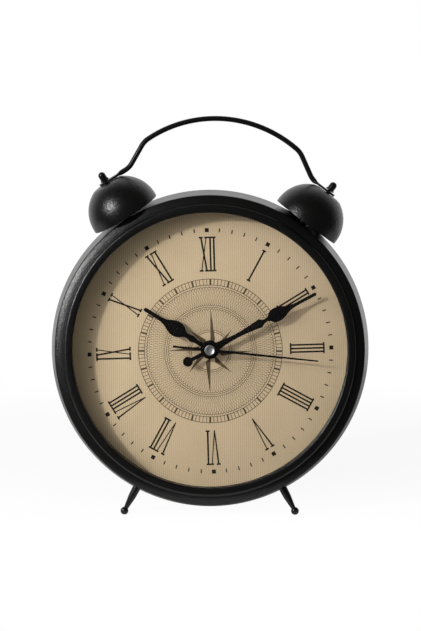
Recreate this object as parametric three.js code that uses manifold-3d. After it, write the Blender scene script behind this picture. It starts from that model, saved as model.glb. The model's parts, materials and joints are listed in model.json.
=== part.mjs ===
// A black twin-bell table clock about 23 cm wide and 29 cm tall, with its quartz movement.
// Millimetres. The finished group has +X to the right, +Y to the rear and +Z up, and stands on Z = 0.
// Inside the body group Y is the depth behind the bezel's front face, and the clock's axis is X = Z = 0.
import * as THREE from 'three';
import { mergeVertices } from 'three/addons/utils/BufferGeometryUtils.js';
import Module from 'manifold-3d';

const wasm = await Module();
wasm.setup();

// Fits
const sheet = 1.0; // metal sheet of the bezel, drum and bells, and wall of the moulded back cover
const seatGap = 0.3; // between pieces that rest on each other
const runningGap = 0.2; // between a shaft and its bearing, on the radius
const overcut = 1.0; // that a cutting tool runs past the face it leaves by

// Bezel
const openingRadius = 100.2;
const openingRound = 1.6;
const hemDepth = 4.2;
const bandWidth = 7.0; // from the opening to the step
const stepRound = 1.3;
const grooveDepth = 2.8;
const grooveRound = 0.8;
const shoulderWidth = 5.7; // from the step to the outer edge
const shoulderRound = 4.2;
const shoulderCrest = 2.0;
const shoulderStart = -80; // where the shoulder's arc meets the groove, in degrees
const bezelDepth = 9.5;
const stepRadius = openingRadius + bandWidth;
const bezelRadius = stepRadius + shoulderWidth;

// Glass, spacer and dial
const glassThickness = 2.0;
const glassMargin = 3.0; // from the glass's edge to the bezel's outer edge
const spacerWall = 1.6;
const spacerFlange = 6.3;
const spacerFlangeThickness = 1.4;
const dialThickness = 2.0;
const dialPlay = 0.7; // between the dial's edge and the drum's collar

// Drum and back cover
const drumFlare = 5.5; // from the drum's collar to its rear edge, on the radius
const drumDepth = 41.0;
const collarLap = 2.5; // of the drum's collar inside the bezel's skirt
const rearRound = 2.6;
const coneAngle = 11; // between the drum's wall and its axis, in degrees, where the rear round starts
const rearFlange = 13.5;
const tabCount = 4;
const tabWidth = 14;
const tabReach = 5.5;
const coverRimWidth = 13.0;
const coverOverlap = 11.5;
const coverDish = 2.3;
const windowMargin = 6; // of the cover's window round the movement
const windowRound = 6;
const screwCount = 4;
const screwInset = 6.0; // from the drum's rear flange edge
const screwRadius = 1.5;
const screwLength = 6.0;
const screwHeadRadius = 3.6;
const screwHeadHeight = 2.0;

// Bells and handle, turned a little to the right about the clock's axis as one group
const topTurn = 2.5;
const bellAngle = 34.4;
const bellLean = { left: 8, right: 3 }; // of each bell to the front, in degrees, as they were fixed
const bellRimGap = 0.3; // from the drum's rear edge to the rim of the bell that leans least
const bellRadius = 26.3;
const bellSkirt = 2.2;
const crownFlat = 10.0;
const studRadius = 1.5;
const studInside = 5.6; // of thread inside the drum's wall
const postRadius = 3.6;
const bellNutRadius = 2.7;
const bellNutCollar = 3.3;
const bellNutCollarHeight = 1.2;
const bellNutHeight = 7.0;
const bellNutThread = 4.8;
const hexNutFlats = 5.0;
const hexNutHeight = 2.3;
const hexNutClearance = 0.1; // of a nut inside the drum from the flats of its faceted wall
const wireRadius = 1.9;
const tabThickness = 1.8;
const eyeletRadius = 5.2;
const tabInward = 17.2; // from the stud to the lower bend
const wireStart = 12.4; // from the stud to where the flattened tab turns into round wire
const bendRun = 9.8; // from a lower bend to the upper one, towards the middle
const bendRise = 19.7;
const handleSwell = 20.6; // of the top arc above the upper bends
const bendLength = 3.6; // of straight wire given up on each side of a bend
const wireSteps = 44;
const wireSides = 8;

// Legs
const legAngle = 27.9;
const legSetback = 3.3; // of a leg's axis behind the bezel
const legLength = 21.0; // from the drum's wall to the ball's centre
const legRootRadius = 2.9;
const legMiddleRadius = 2.55;
const legNeckRadius = 1.6;
const ballRadius = 2.9;
const footFlat = 0.25;
const legThread = 4.4; // inside the drum's wall

// Hands, clockwise from twelve. A spade hand's widths are half widths, its places along the blade are shares
// of its length, and tipGap is from its tip to the bezel's opening.
const handThickness = 0.4;
const hourAngle = -57.9;
const minuteAngle = 61.9;
const secondAngle = 95.7;
const hourHand = {
  tipGap: 43.6, boss: 5.8, root: 2.9, waist: 1.3, waistAt: 0.18, collar: 2.1, collarAt: 0.277,
  neck: 1.5, neckAt: 0.341, spade: 5.5, spadeAt: 0.509, bar: 1.05, barAt: 0.795,
};
const minuteHand = {
  tipGap: 12.4, boss: 5.6, root: 3.6, waist: 1.3, waistAt: 0.25, collar: 2.7, collarAt: 0.478,
  neck: 1.1, neckAt: 0.531, spade: 4.7, spadeAt: 0.622, bar: 0.9, barAt: 0.829,
};
const handCurve = 0.4; // of the way from one place to the next, where a blade's edge turns
const tailWidth = 2.0;
const tailDisc = 3.6;
const tailDiscAt = 18.1;
const secondTipGap = 20.9;
const secondTail = 27;
const secondBoss = 2.6;
const secondWidth = 1.1;
const secondTipWidth = 0.5;
const capRadius = 4.0;
const capHeight = 1.0;
const capGap = 0.1; // to the second hand, which carries it
const handStep = 2.0; // from one hand to the next
const hourHandGap = 0.8; // from the movement's post to the hour hand

// Movement housing
const boxWall = 1.2;
const trainRoom = 9.8; // from the clock's axis down to the battery bay's wall
const coilRoom = 0.9; // between the coil and the housing
const boardRoom = 0.6; // between the circuit board and the housing
const postOuter = 4.0;
const postEnd = 1.1; // of the threaded post past its nut
const washerThickness = 0.5;
const washerRadius = 7;
const dialNutFlats = 11;
const dialNutHeight = 2.2;
const pivotRadius = 0.45;
const pivotSink = 0.7;

// Coaxial shafts at the clock's axis
const secondShaft = 0.55;
const minuteBore = secondShaft + runningGap;
const minuteTube = 1.4;
const hourBore = minuteTube + runningGap;
const hourTube = 2.4;
const postBore = hourTube + runningGap;

// Train: levels are depths behind the housing's inner floor, one wheel and the pinion it meets on each
const wheelThickness = 0.8;
const pinionExtra = 0.2; // a pinion is longer than its wheel by this at each end
const firstLevel = 0.7;
const levelGap = 0.5; // between the pinions of two levels
const toothShare = 0.38; // of the pitch that a pinion's leaf takes
const leafTip = 0.5; // of a leaf's width that is left at its tip
const addendum = 0.75; // in modules
const leafRoot = 1.1;
const wheelRoot = 1.5;
const mesh = {
  hour: { wheel: 32, pinion: 8, module: 0.4, level: 0 },
  motion: { wheel: 24, pinion: 8, module: 0.5, level: 1 },
  centre: { wheel: 48, pinion: 6, module: 0.34, level: 2 },
  third: { wheel: 45, pinion: 6, module: 0.36, level: 3 },
  seconds: { wheel: 30, pinion: 6, module: 0.53, level: 4 },
  intermediate: { wheel: 36, pinion: 6, module: 0.35, level: 5 },
};
const knobTeeth = 10;
const motionDirection = 285; // clockwise from twelve, from the clock's axis to the motion wheel
const knobDirection = 300; // from the motion wheel to the knob
const thirdDirection = 80;
const intermediateDirection = 350;
const rotorDirection = 20; // from the intermediate wheel to the rotor
const motionPost = 0.8;
const knobShaft = 1.2;
const knobRadius = 6;
const knobThickness = 3.8;
const knobFlutes = 12;
const fluteDepth = 0.5;
const magnetRadius = 2.6;
const magnetHeight = 3.0;
const stator = { width: 26, reach: 3.9, hornLength: 5.0, hornWidth: 3, thickness: 0.8 };
const pillarRadius = 1.2; // of the two pillars that carry the stator
const coil = { length: 17, height: 5.4, depth: 5.6, flange: 1.2, winding: 4.8, core: 2.4 };
const board = { width: 8, bottom: -8, top: 20, thickness: 0.9 };
const resinRadius = 3.0;
const resinHeight = 1.2;
const crystalRadius = 1.0;
const crystalLength = 6.2;

// Battery and its contacts
const batteryRadius = 7.1;
const batteryLength = 49.0;
const bayPlay = 0.8; // between the battery and its bay, on the radius
const nubRadius = 2.7;
const nubLength = 1.2;
const contactThickness = 0.4;
const contactHeight = 9;
const leafBow = 1.4; // of the negative contact towards the battery

const finish = {
  powderBlack: new THREE.MeshStandardMaterial({ color: 0x1a1918, roughness: 0.55, metalness: 0.0 }),
  glossBlack: new THREE.MeshStandardMaterial({ color: 0x121212, roughness: 0.25, metalness: 0.0 }),
  handBlack: new THREE.MeshStandardMaterial({ color: 0x14110f, roughness: 0.5, metalness: 0.0 }),
  glass: new THREE.MeshStandardMaterial({
    color: 0xffffff, roughness: 0.05, metalness: 0.0, transparent: true, opacity: 0.15,
  }),
  paper: new THREE.MeshStandardMaterial({ color: 0xb5a181, roughness: 0.9, metalness: 0.0 }),
  chrome: new THREE.MeshStandardMaterial({ color: 0xc8c8c8, roughness: 0.15, metalness: 1.0 }),
  zincSteel: new THREE.MeshStandardMaterial({ color: 0xa8a9a8, roughness: 0.4, metalness: 1.0 }),
  brass: new THREE.MeshStandardMaterial({ color: 0xc2a05a, roughness: 0.35, metalness: 1.0 }),
  blackPlastic: new THREE.MeshStandardMaterial({ color: 0x1c1c1d, roughness: 0.5, metalness: 0.0 }),
  whitePlastic: new THREE.MeshStandardMaterial({ color: 0xe6e4dc, roughness: 0.45, metalness: 0.0 }),
  copper: new THREE.MeshStandardMaterial({ color: 0xa85f35, roughness: 0.4, metalness: 0.8 }),
  boardGreen: new THREE.MeshStandardMaterial({ color: 0x2f5a3a, roughness: 0.5, metalness: 0.0 }),
  batteryLabel: new THREE.MeshStandardMaterial({ color: 0x3a3d42, roughness: 0.35, metalness: 0.3 }),
};

const radians = THREE.MathUtils.degToRad;
const roundSides = 36; // of the large turned pieces, which share one phase
const bellSides = 24;
const fittingSides = 12; // of legs, nuts and other turned fittings that show
const shaftSides = 12;
const pivotSides = 8;
const discSides = 20; // of the flat discs on the hands

// Solids

// A closed geometry as a solid whose faces point out.
function solidOf(geometry) {
  const flat = geometry.index ? geometry.toNonIndexed() : geometry;
  const bare = new THREE.BufferGeometry();
  bare.setAttribute('position', flat.getAttribute('position'));
  const merged = mergeVertices(bare, 1e-4);
  const index = merged.index.array;
  const corners = merged.getAttribute('position');
  const [a, b, c] = [new THREE.Vector3(), new THREE.Vector3(), new THREE.Vector3()];
  const kept = [];
  let volume = 0;
  for (let i = 0; i < index.length; i += 3) {
    const [p, q, r] = index.slice(i, i + 3);
    if (p === q || q === r || r === p) continue;
    kept.push([p, q, r]);
    a.fromBufferAttribute(corners, p);
    b.fromBufferAttribute(corners, q);
    c.fromBufferAttribute(corners, r);
    volume += a.dot(b.cross(c));
  }
  const outward = volume > 0 ? kept : kept.map(([p, q, r]) => [p, r, q]);
  const triVerts = new Uint32Array(outward.flat());
  return new wasm.Manifold(new wasm.Mesh({ numProp: 3, vertProperties: corners.array, triVerts }));
}

function geometryOf(solid) {
  const { vertProperties, triVerts } = solid.getMesh();
  const geometry = new THREE.BufferGeometry();
  geometry.setAttribute('position', new THREE.BufferAttribute(vertProperties, 3));
  geometry.setIndex(new THREE.BufferAttribute(triVerts, 1));
  const faceted = geometry.toNonIndexed();
  faceted.computeVertexNormals();
  return faceted;
}

function piece(name, solid, material) {
  const made = new THREE.Mesh(geometryOf(solid), material);
  made.name = name;
  return made;
}

// Points on an arc of a profile. Angle 0 points away from the axis, 90 degrees along it.
function arc(radius, along, round, from, to, steps) {
  const points = [];
  for (let i = 0; i <= steps; i += 1) {
    const angle = radians(from + ((to - from) * i) / steps);
    points.push([radius + round * Math.cos(angle), along + round * Math.sin(angle)]);
  }
  return points;
}

function lathe(profile, sides) {
  const points = profile.map(([radius, along]) => new THREE.Vector2(radius, along));
  if (points[0].x > 0) points.push(points[0].clone());
  return new THREE.LatheGeometry(points, sides);
}

// A turned piece about the depth axis.
const turned = (profile, sides = roundSides) => solidOf(lathe(profile, sides));

// A turned piece about a station's radial axis, which is the station's Z.
const turnedRadially = (profile, sides) => solidOf(lathe(profile, sides).rotateX(Math.PI / 2));

const rod = (radius, from, to, sides = shaftSides) =>
  turned([[0, from], [radius, from], [radius, to], [0, to]], sides);

const tube = (inner, outer, from, to, sides = shaftSides) =>
  turned([[inner, from], [outer, from], [outer, to], [inner, to]], sides);

const radialRod = (radius, from, to, sides = shaftSides) =>
  turnedRadially([[0, from], [radius, from], [radius, to], [0, to]], sides);

// An outline drawn as seen from the front, X right and Y up, filled between two depths.
function plateGeometry(shape, from, to, curveSegments = 6) {
  const options = { depth: to - from, bevelEnabled: false, curveSegments };
  return new THREE.ExtrudeGeometry(shape, options).rotateX(Math.PI / 2).translate(0, to, 0);
}

const plate = (shape, from, to, curveSegments) => solidOf(plateGeometry(shape, from, to, curveSegments));

function block(left, right, from, to, bottom, top) {
  const box = new THREE.BoxGeometry(right - left, to - from, top - bottom);
  return solidOf(box.translate((left + right) / 2, (from + to) / 2, (bottom + top) / 2));
}

// A rod along X.
function crossRod(radius, left, right, depth, height, sides = shaftSides) {
  const geometry = new THREE.CylinderGeometry(radius, radius, right - left, sides);
  return solidOf(geometry.rotateZ(Math.PI / 2).translate((left + right) / 2, depth, height));
}

// The place of a fitting on the drum's wall: Z points out along the radius at a clockwise angle.
function station(angle, depth) {
  return new THREE.Matrix4().makeRotationY(radians(angle)).setPosition(0, depth, 0);
}

function groupAt(place) {
  const group = new THREE.Group();
  group.applyMatrix4(place);
  return group;
}

function drillRadially(solid, place, radius, from, to) {
  const profile = [[0, from], [radius, from], [radius, to], [0, to]];
  const drill = lathe(profile, shaftSides).rotateX(Math.PI / 2).applyMatrix4(place);
  return solid.subtract(solidOf(drill));
}

function hexOutline(flats, boreRadius) {
  const outline = new THREE.Shape();
  const corner = flats / 2 / Math.cos(Math.PI / 6);
  for (let i = 0; i < 6; i += 1) {
    const angle = (i * Math.PI) / 3;
    const [x, y] = [corner * Math.cos(angle), corner * Math.sin(angle)];
    if (i === 0) outline.moveTo(x, y);
    else outline.lineTo(x, y);
  }
  outline.closePath();
  outline.holes.push(circlePath(boreRadius));
  return outline;
}

function circlePath(radius, x = 0, y = 0) {
  const path = new THREE.Path();
  path.absarc(x, y, radius, 0, 2 * Math.PI, true);
  return path;
}

function roundedSquare(half, round) {
  const path = new THREE.Path();
  const inner = half - round;
  path.absarc(inner, inner, round, 0, Math.PI / 2);
  path.absarc(-inner, inner, round, Math.PI / 2, Math.PI);
  path.absarc(-inner, -inner, round, Math.PI, 1.5 * Math.PI);
  path.absarc(inner, -inner, round, 1.5 * Math.PI, 2 * Math.PI);
  path.closePath();
  return path;
}

// Case

// The bezel is pressed from sheet: each bend's front and rear arcs share a centre.
function makeBezel() {
  const shoulder = [bezelRadius - shoulderRound, shoulderCrest + shoulderRound];
  const groove = [stepRadius + grooveRound, grooveDepth - grooveRound];
  const step = [stepRadius - stepRound, stepRound];
  const opening = [openingRadius + openingRound, openingRound];
  const front = [
    [openingRadius, hemDepth],
    ...arc(...opening, openingRound, 180, 270, 2),
    ...arc(...step, stepRound, -90, 0, 2),
    ...arc(...groove, grooveRound, 180, 90, 1),
    ...arc(...shoulder, shoulderRound, shoulderStart, 0, 4),
    [bezelRadius, bezelDepth],
  ];
  const rear = [
    [bezelRadius - sheet, bezelDepth],
    ...arc(...shoulder, shoulderRound - sheet, 0, shoulderStart, 1),
    ...arc(...groove, grooveRound + sheet, 90, 180, 1),
    [stepRadius - sheet, sheet],
    [openingRadius + sheet, sheet],
    [openingRadius + sheet, hemDepth],
  ];
  return turned([...front, ...rear]);
}

const collarRadius = bezelRadius - sheet - seatGap;
const collarEnd = bezelDepth + seatGap;
const drumRadius = collarRadius + drumFlare;
const rearCentre = { radius: drumRadius - rearRound, depth: drumDepth - rearRound };
const coneEnd = {
  radius: rearCentre.radius + rearRound * Math.cos(radians(coneAngle)),
  depth: rearCentre.depth - rearRound * Math.sin(radians(coneAngle)),
};

// Outer radius of the drum's flared wall at a depth.
function wallRadius(depth) {
  const share = (depth - collarEnd) / (coneEnd.depth - collarEnd);
  return collarRadius + share * (coneEnd.radius - collarRadius);
}

const glassFront = hemDepth + seatGap;
const spacerFront = glassFront + glassThickness + seatGap;

// The hands' stack, from the glass down to the dial's printed face
const capFront = spacerFront;
const secondFront = capFront + capHeight + capGap;
const minuteFront = secondFront + handStep;
const hourFront = minuteFront + handStep;
const postFront = hourFront + handThickness + hourHandGap;
const dialNutFront = postFront + postEnd;
const dialWasherFront = dialNutFront + dialNutHeight + seatGap;
const dialDepth = dialWasherFront + washerThickness + seatGap;
const dialRear = dialDepth + dialThickness;
const dialRadius = collarRadius - sheet - dialPlay;
const flangeRadius = rearCentre.radius - rearFlange;
const screwCircle = flangeRadius + screwInset;
const bellAngles = { left: -bellAngle, right: bellAngle };
const legAngles = { left: 180 + legAngle, right: 180 - legAngle };
const bellDepth = (collarEnd + rearCentre.depth) / 2;
const legDepth = bezelDepth + legSetback;
const fastenerHole = studRadius + seatGap;
const leastLean = radians(Math.min(...Object.values(bellLean)));
const bellRimHeight = drumRadius + bellRimGap - (rearCentre.depth - bellDepth) * Math.tan(leastLean);

// The place of a bell and its fittings, which lean to the front about the middle of the bell's rim.
function bellPlace(side, turn = 0) {
  const lean = new THREE.Matrix4().makeRotationX(radians(bellLean[side]));
  const seat = new THREE.Matrix4().makeTranslation(0, 0, bellRimHeight);
  const unseat = seat.clone().invert();
  return station(turn + bellAngles[side], bellDepth).multiply(seat).multiply(lean).multiply(unseat);
}

function makeGlass() {
  return rod(bezelRadius - glassMargin, glassFront, glassFront + glassThickness, roundSides);
}

function makeSpacerRing() {
  const inner = openingRadius + runningGap;
  const rear = dialDepth - seatGap;
  return turned([
    [inner, spacerFront],
    [inner + spacerWall, spacerFront],
    [inner + spacerWall, rear - spacerFlangeThickness],
    [inner + spacerFlange, rear - spacerFlangeThickness],
    [inner + spacerFlange, rear],
    [inner, rear],
  ]);
}

function makeDial() {
  const bore = postOuter + seatGap;
  return tube(bore, dialRadius, dialDepth, dialRear, roundSides);
}

// The spun drum, with the tabs welded inside that stop the dial from behind.
function makeDrum() {
  const centre = [rearCentre.radius, rearCentre.depth];
  const outside = [
    [collarRadius, bezelDepth - collarLap],
    [collarRadius, collarEnd],
    ...arc(...centre, rearRound, -coneAngle, 90, 3),
    [flangeRadius, drumDepth],
  ];
  const inside = [
    [flangeRadius, drumDepth - sheet],
    ...arc(...centre, rearRound - sheet, 90, -coneAngle, 1),
    [collarRadius - sheet, collarEnd],
    [collarRadius - sheet, bezelDepth - collarLap],
  ];
  let drum = turned([...outside, ...inside]);
  const tabFront = dialRear + seatGap;
  for (let i = 0; i < tabCount; i += 1) {
    const outer = wallRadius(tabFront) - sheet / 2;
    const box = new THREE.BoxGeometry(tabWidth, sheet, outer - dialRadius + tabReach);
    box.translate(0, 0, (outer + dialRadius - tabReach) / 2);
    drum = drum.add(solidOf(box.applyMatrix4(station((360 * i) / tabCount, tabFront + sheet / 2))));
  }
  for (const side of ['left', 'right']) {
    drum = drillRadially(drum, bellPlace(side, topTurn), fastenerHole, flangeRadius, drumRadius);
    drum = drillRadially(drum, station(legAngles[side], legDepth), fastenerHole, flangeRadius, drumRadius);
  }
  return drillScrewHoles(drum);
}

function screwPlace(i) {
  const angle = radians((360 / screwCount) * (i + 0.5));
  return [screwCircle * Math.sin(angle), screwCircle * Math.cos(angle)];
}

function drillScrewHoles(solid) {
  let drilled = solid;
  for (let i = 0; i < screwCount; i += 1) {
    const [x, z] = screwPlace(i);
    const radius = screwRadius + seatGap;
    const hole = new THREE.CylinderGeometry(radius, radius, drumDepth, shaftSides);
    drilled = drilled.subtract(solidOf(hole.translate(x, drumDepth, z)));
  }
  return drilled;
}

// The dished back cover: its rim lies on the drum's flange and its dish sits inside the flange's edge.
const coverFront = drumDepth + seatGap;
const coverRear = coverFront + sheet;

function makeBackCover() {
  const rimOuter = flangeRadius + coverOverlap;
  const rimInner = rimOuter - coverRimWidth;
  const dishRadius = rimInner - coverDish;
  const dish = turned([
    [0, coverFront - coverDish],
    [dishRadius, coverFront - coverDish],
    [rimInner, coverFront],
    [rimOuter, coverFront],
    [rimOuter, coverRear],
    [rimInner - sheet / 2, coverRear],
    [dishRadius - sheet / 2, coverRear - coverDish],
    [0, coverRear - coverDish],
  ]);
  const windowHalf = Math.max(boxHalf, boxTop, -boxBottom) + windowMargin;
  const opening = new THREE.Shape(roundedSquare(windowHalf, windowRound).getPoints(2));
  return drillScrewHoles(dish.subtract(plate(opening, 0, 2 * drumDepth)));
}

function makeBackScrew() {
  const seat = coverRear + seatGap;
  return turned([
    [0, seat - screwLength],
    [screwRadius, seat - screwLength],
    [screwRadius, seat],
    [screwHeadRadius, seat],
    [screwHeadRadius, seat + screwHeadHeight / 2],
    [screwHeadRadius / 2, seat + screwHeadHeight],
    [0, seat + screwHeadHeight],
  ], shaftSides);
}

// Bells

const crownAngle = Math.acos(crownFlat / bellRadius);
const crownHeight = bellRimHeight + bellSkirt + bellRadius * Math.sin(crownAngle);
const crownInside = crownHeight - sheet * Math.sin(crownAngle);
const tabBottom = crownHeight + seatGap;
const bellNutBottom = tabBottom + tabThickness + seatGap;

function makeBell() {
  const centre = bellRimHeight + bellSkirt;
  const crown = THREE.MathUtils.radToDeg(crownAngle);
  return turnedRadially([
    [bellRadius, bellRimHeight],
    ...arc(0, centre, bellRadius, 0, crown, 5),
    [fastenerHole, crownHeight],
    [fastenerHole, crownInside],
    ...arc(0, centre, bellRadius - sheet, crown, 0, 2),
    [bellRadius - sheet, bellRimHeight],
  ], bellSides);
}

// The drum's flared wall with the seat gap added, moved into a fitting's own frame.
function wallEnvelope(place) {
  const profile = [
    [0, bezelDepth],
    [wallRadius(bezelDepth) + seatGap, bezelDepth],
    [coneEnd.radius + seatGap, coneEnd.depth],
    [0, coneEnd.depth],
  ];
  return solidOf(lathe(profile, roundSides).applyMatrix4(place.clone().invert()));
}

// The tube inside a bell that carries its crown, cut to the drum's wall.
function makeBellPost(side) {
  const profile = [
    [fastenerHole, flangeRadius],
    [postRadius, flangeRadius],
    [postRadius, crownInside - seatGap],
    [fastenerHole, crownInside - seatGap],
  ];
  return turnedRadially(profile, shaftSides).subtract(wallEnvelope(bellPlace(side, topTurn)));
}

function makeBellStud() {
  const inner = wallRadius(bellDepth) - sheet - studInside;
  return radialRod(studRadius, inner, bellNutBottom + bellNutThread - seatGap);
}

function makeBellNut() {
  const bore = studRadius + runningGap;
  const domeAt = bellNutBottom + bellNutHeight - bellNutRadius;
  return turnedRadially([
    [0, bellNutBottom + bellNutThread],
    [bore, bellNutBottom + bellNutThread],
    [bore, bellNutBottom],
    [bellNutCollar, bellNutBottom],
    [bellNutCollar, bellNutBottom + bellNutCollarHeight],
    [bellNutRadius, bellNutBottom + bellNutCollarHeight],
    ...arc(0, domeAt, bellNutRadius, 0, 90, 3).slice(0, -1),
    [0, domeAt + bellNutRadius],
  ], fittingSides);
}

// A hexagon nut on a fastener inside the drum, clear of the sloping wall and of its flats.
function makeHexNut(depth, lean = 0) {
  const flare = Math.atan(wallRadius(depth + 1) - wallRadius(depth));
  const slope = hexNutFlats * Math.tan(flare - radians(lean));
  const inner = wallRadius(depth) - sheet;
  const flatSag = inner * (1 - Math.cos(Math.PI / roundSides));
  const top = inner - Math.max(seatGap + slope, flatSag + hexNutClearance);
  const options = { depth: hexNutHeight, bevelEnabled: false, curveSegments: 4 };
  const outline = hexOutline(hexNutFlats, studRadius + runningGap);
  return solidOf(new THREE.ExtrudeGeometry(outline, options).translate(0, 0, top - hexNutHeight));
}

// Handle

// A point on the tab at a bell, some way from the stud towards the middle, before the top's turn.
function onTab(side, inward) {
  const along = side === 'left' ? inward : -inward;
  return new THREE.Vector3(along, 0, tabBottom + tabThickness / 2).applyMatrix4(bellPlace(side));
}

// The wire's route from the left tab to the right one, with each corner rounded.
function handleRoute() {
  const lower = { left: onTab('left', tabInward), right: onTab('right', tabInward) };
  const span = lower.right.x - lower.left.x;
  const middle = (lower.left.x + lower.right.x) / 2;
  const halfSpan = span / 2 - bendRun;
  const handleArc = (halfSpan ** 2 + handleSwell ** 2) / (2 * handleSwell);
  const arcCentre = (lower.left.z + lower.right.z) / 2 + bendRise + handleSwell - handleArc;
  const slant = (lower.right.y - lower.left.y) / span;
  const depthAt = (x) => lower.left.y + slant * (x - lower.left.x);
  const at = (x, z) => new THREE.Vector3(x, depthAt(x), z);
  const onArc = (side, angle) =>
    at(
      middle + (side === 'left' ? -1 : 1) * handleArc * Math.sin(angle),
      arcCentre + handleArc * Math.cos(angle),
    );
  const bendAngle = Math.asin(halfSpan / handleArc);
  const arcAngle = bendAngle - bendLength / handleArc;
  const towards = (from, to) => from.clone().add(to.clone().sub(from).setLength(bendLength));
  const corners = (side) => {
    const [tab, bend, upper] = [onTab(side, wireStart), lower[side], onArc(side, bendAngle)];
    const [beforeBend, afterBend] = [towards(bend, tab), towards(bend, upper)];
    return [tab, beforeBend, bend, afterBend, towards(upper, bend), upper, onArc(side, arcAngle)];
  };
  const left = corners('left');
  const right = corners('right').reverse();
  const pull = (4 / 3) * Math.tan(arcAngle / 2) * handleArc;
  const [run, rise] = [pull * Math.cos(arcAngle), pull * Math.sin(arcAngle)];
  const leftPull = at(left[6].x + run, left[6].z + rise);
  const rightPull = at(right[0].x - run, right[0].z + rise);
  const route = new THREE.CurvePath();
  route.add(new THREE.LineCurve3(left[0], left[1]));
  route.add(new THREE.QuadraticBezierCurve3(left[1], left[2], left[3]));
  route.add(new THREE.LineCurve3(left[3], left[4]));
  route.add(new THREE.QuadraticBezierCurve3(left[4], left[5], left[6]));
  route.add(new THREE.CubicBezierCurve3(left[6], leftPull, rightPull, right[0]));
  route.add(new THREE.QuadraticBezierCurve3(right[0], right[1], right[2]));
  route.add(new THREE.LineCurve3(right[2], right[3]));
  route.add(new THREE.QuadraticBezierCurve3(right[3], right[4], right[5]));
  route.add(new THREE.LineCurve3(right[5], right[6]));
  return route;
}

function wire(route, radius, steps, sides) {
  const section = new THREE.Shape(circlePath(radius).getPoints(sides / 2).slice(0, -1));
  const options = { extrudePath: route, steps, bevelEnabled: false };
  return solidOf(new THREE.ExtrudeGeometry(section, options));
}

// The wire's ends are flattened to pierced tabs that lie on the bells' crowns.
function makeHandle() {
  let handle = wire(handleRoute(), wireRadius, wireSteps, wireSides);
  for (const side of ['left', 'right']) {
    const tab = new THREE.Shape();
    const neckAt = (side === 'left' ? 1 : -1) * (tabInward - bendLength);
    tab.moveTo(neckAt, -wireRadius);
    tab.lineTo(neckAt, wireRadius);
    tab.lineTo(0, eyeletRadius);
    tab.absarc(0, 0, eyeletRadius, Math.PI / 2, -Math.PI / 2, side === 'right');
    tab.closePath();
    const options = { depth: tabThickness, bevelEnabled: false, curveSegments: 10 };
    const flat = new THREE.ExtrudeGeometry(tab, options).translate(0, 0, tabBottom);
    handle = handle.add(solidOf(flat.applyMatrix4(bellPlace(side))));
    handle = drillRadially(handle, bellPlace(side), fastenerHole, crownHeight, bellNutBottom);
  }
  return handle;
}

// Legs, and the lean that they and the drum's rear edge give the clock

const legReach = wallRadius(legDepth) + legLength; // from the clock's axis to the ball's centre
const ballHeight = legReach * Math.cos(radians(legAngle));

// The ball's flat and the drum's rear round touch one plane when the clock leans back by this angle.
function restingLean() {
  const drop = rearCentre.radius - ballHeight;
  const run = rearCentre.depth - legDepth;
  const lift = ballRadius - footFlat - rearRound;
  return Math.asin(lift / Math.hypot(drop, run)) - Math.atan2(drop, run);
}

const lean = restingLean();
const bodyTurn = new THREE.Matrix4().makeRotationX(-lean);

function makeLeg(angle) {
  const ballCentre = legReach;
  const neckAngle = THREE.MathUtils.radToDeg(Math.acos(legNeckRadius / ballRadius));
  const neckAt = ballCentre - ballRadius * Math.sin(radians(neckAngle));
  const rootAt = flangeRadius;
  const wallAt = wallRadius(legDepth);
  const body = turnedRadially([
    [0, rootAt],
    [legRootRadius, rootAt],
    [legRootRadius, wallAt],
    [legMiddleRadius, (wallAt + neckAt) / 2],
    ...arc(0, ballCentre, ballRadius, -neckAngle, 90, 6).slice(0, -1),
    [0, ballCentre + ballRadius],
  ], fittingSides);
  const thread = radialRod(studRadius, wallAt - sheet - legThread, wallAt + sheet);
  const floorTop = -(ballHeight * Math.cos(lean) + legDepth * Math.sin(lean) + ballRadius - footFlat);
  const floor = new THREE.BoxGeometry(4 * drumRadius, 4 * drumRadius, ballRadius);
  floor.translate(0, 0, floorTop - ballRadius / 2);
  const intoStation = bodyTurn.clone().multiply(station(angle, legDepth)).invert();
  return body
    .subtract(wallEnvelope(station(angle, legDepth)))
    .add(thread)
    .subtract(solidOf(floor.applyMatrix4(intoStation)));
}

// Hands

// A spade hand's outline: one edge from the root to the tip, mirrored about the blade's middle line.
function spadeOutline(h) {
  const length = openingRadius - h.tipGap;
  const places = [h.waistAt, h.collarAt, h.neckAt, h.spadeAt, h.barAt];
  const [waistAt, collarAt, neckAt, spadeAt, barAt] = places.map((share) => share * length);
  const between = (from, to) => from + handCurve * (to - from);
  const belly = between(neckAt, spadeAt);
  const shoulder = between(spadeAt, barAt);
  const edge = new THREE.Path();
  edge.moveTo(h.root, 0);
  edge.quadraticCurveTo(h.waist, between(0, waistAt), h.waist, waistAt);
  edge.quadraticCurveTo(h.waist, between(waistAt, collarAt), h.collar, collarAt);
  edge.quadraticCurveTo(h.neck, between(collarAt, neckAt), h.neck, neckAt);
  edge.bezierCurveTo(h.neck, belly, h.spade, belly, h.spade, spadeAt);
  edge.bezierCurveTo(h.spade, shoulder, h.bar, shoulder, h.bar, barAt);
  edge.lineTo(h.bar, length - h.bar);
  edge.absarc(0, length - h.bar, h.bar, 0, Math.PI / 2);
  const right = edge.getPoints(3);
  const left = right.slice(0, -1).reverse().map((p) => new THREE.Vector2(-p.x, p.y));
  return new THREE.Shape([...right, ...left]);
}

function disc(radius, from, to, x = 0, y = 0) {
  return plate(new THREE.Shape(circlePath(radius, x, y).getPoints(discSides / 2).slice(0, -1)), from, to);
}

function makeSpadeHand(sizes, boreRadius, front) {
  const rear = front + handThickness;
  const blade = plate(spadeOutline(sizes), front, rear);
  const bore = rod(boreRadius, front - overcut, rear + overcut);
  return blade.add(disc(sizes.boss, front, rear)).subtract(bore);
}

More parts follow.
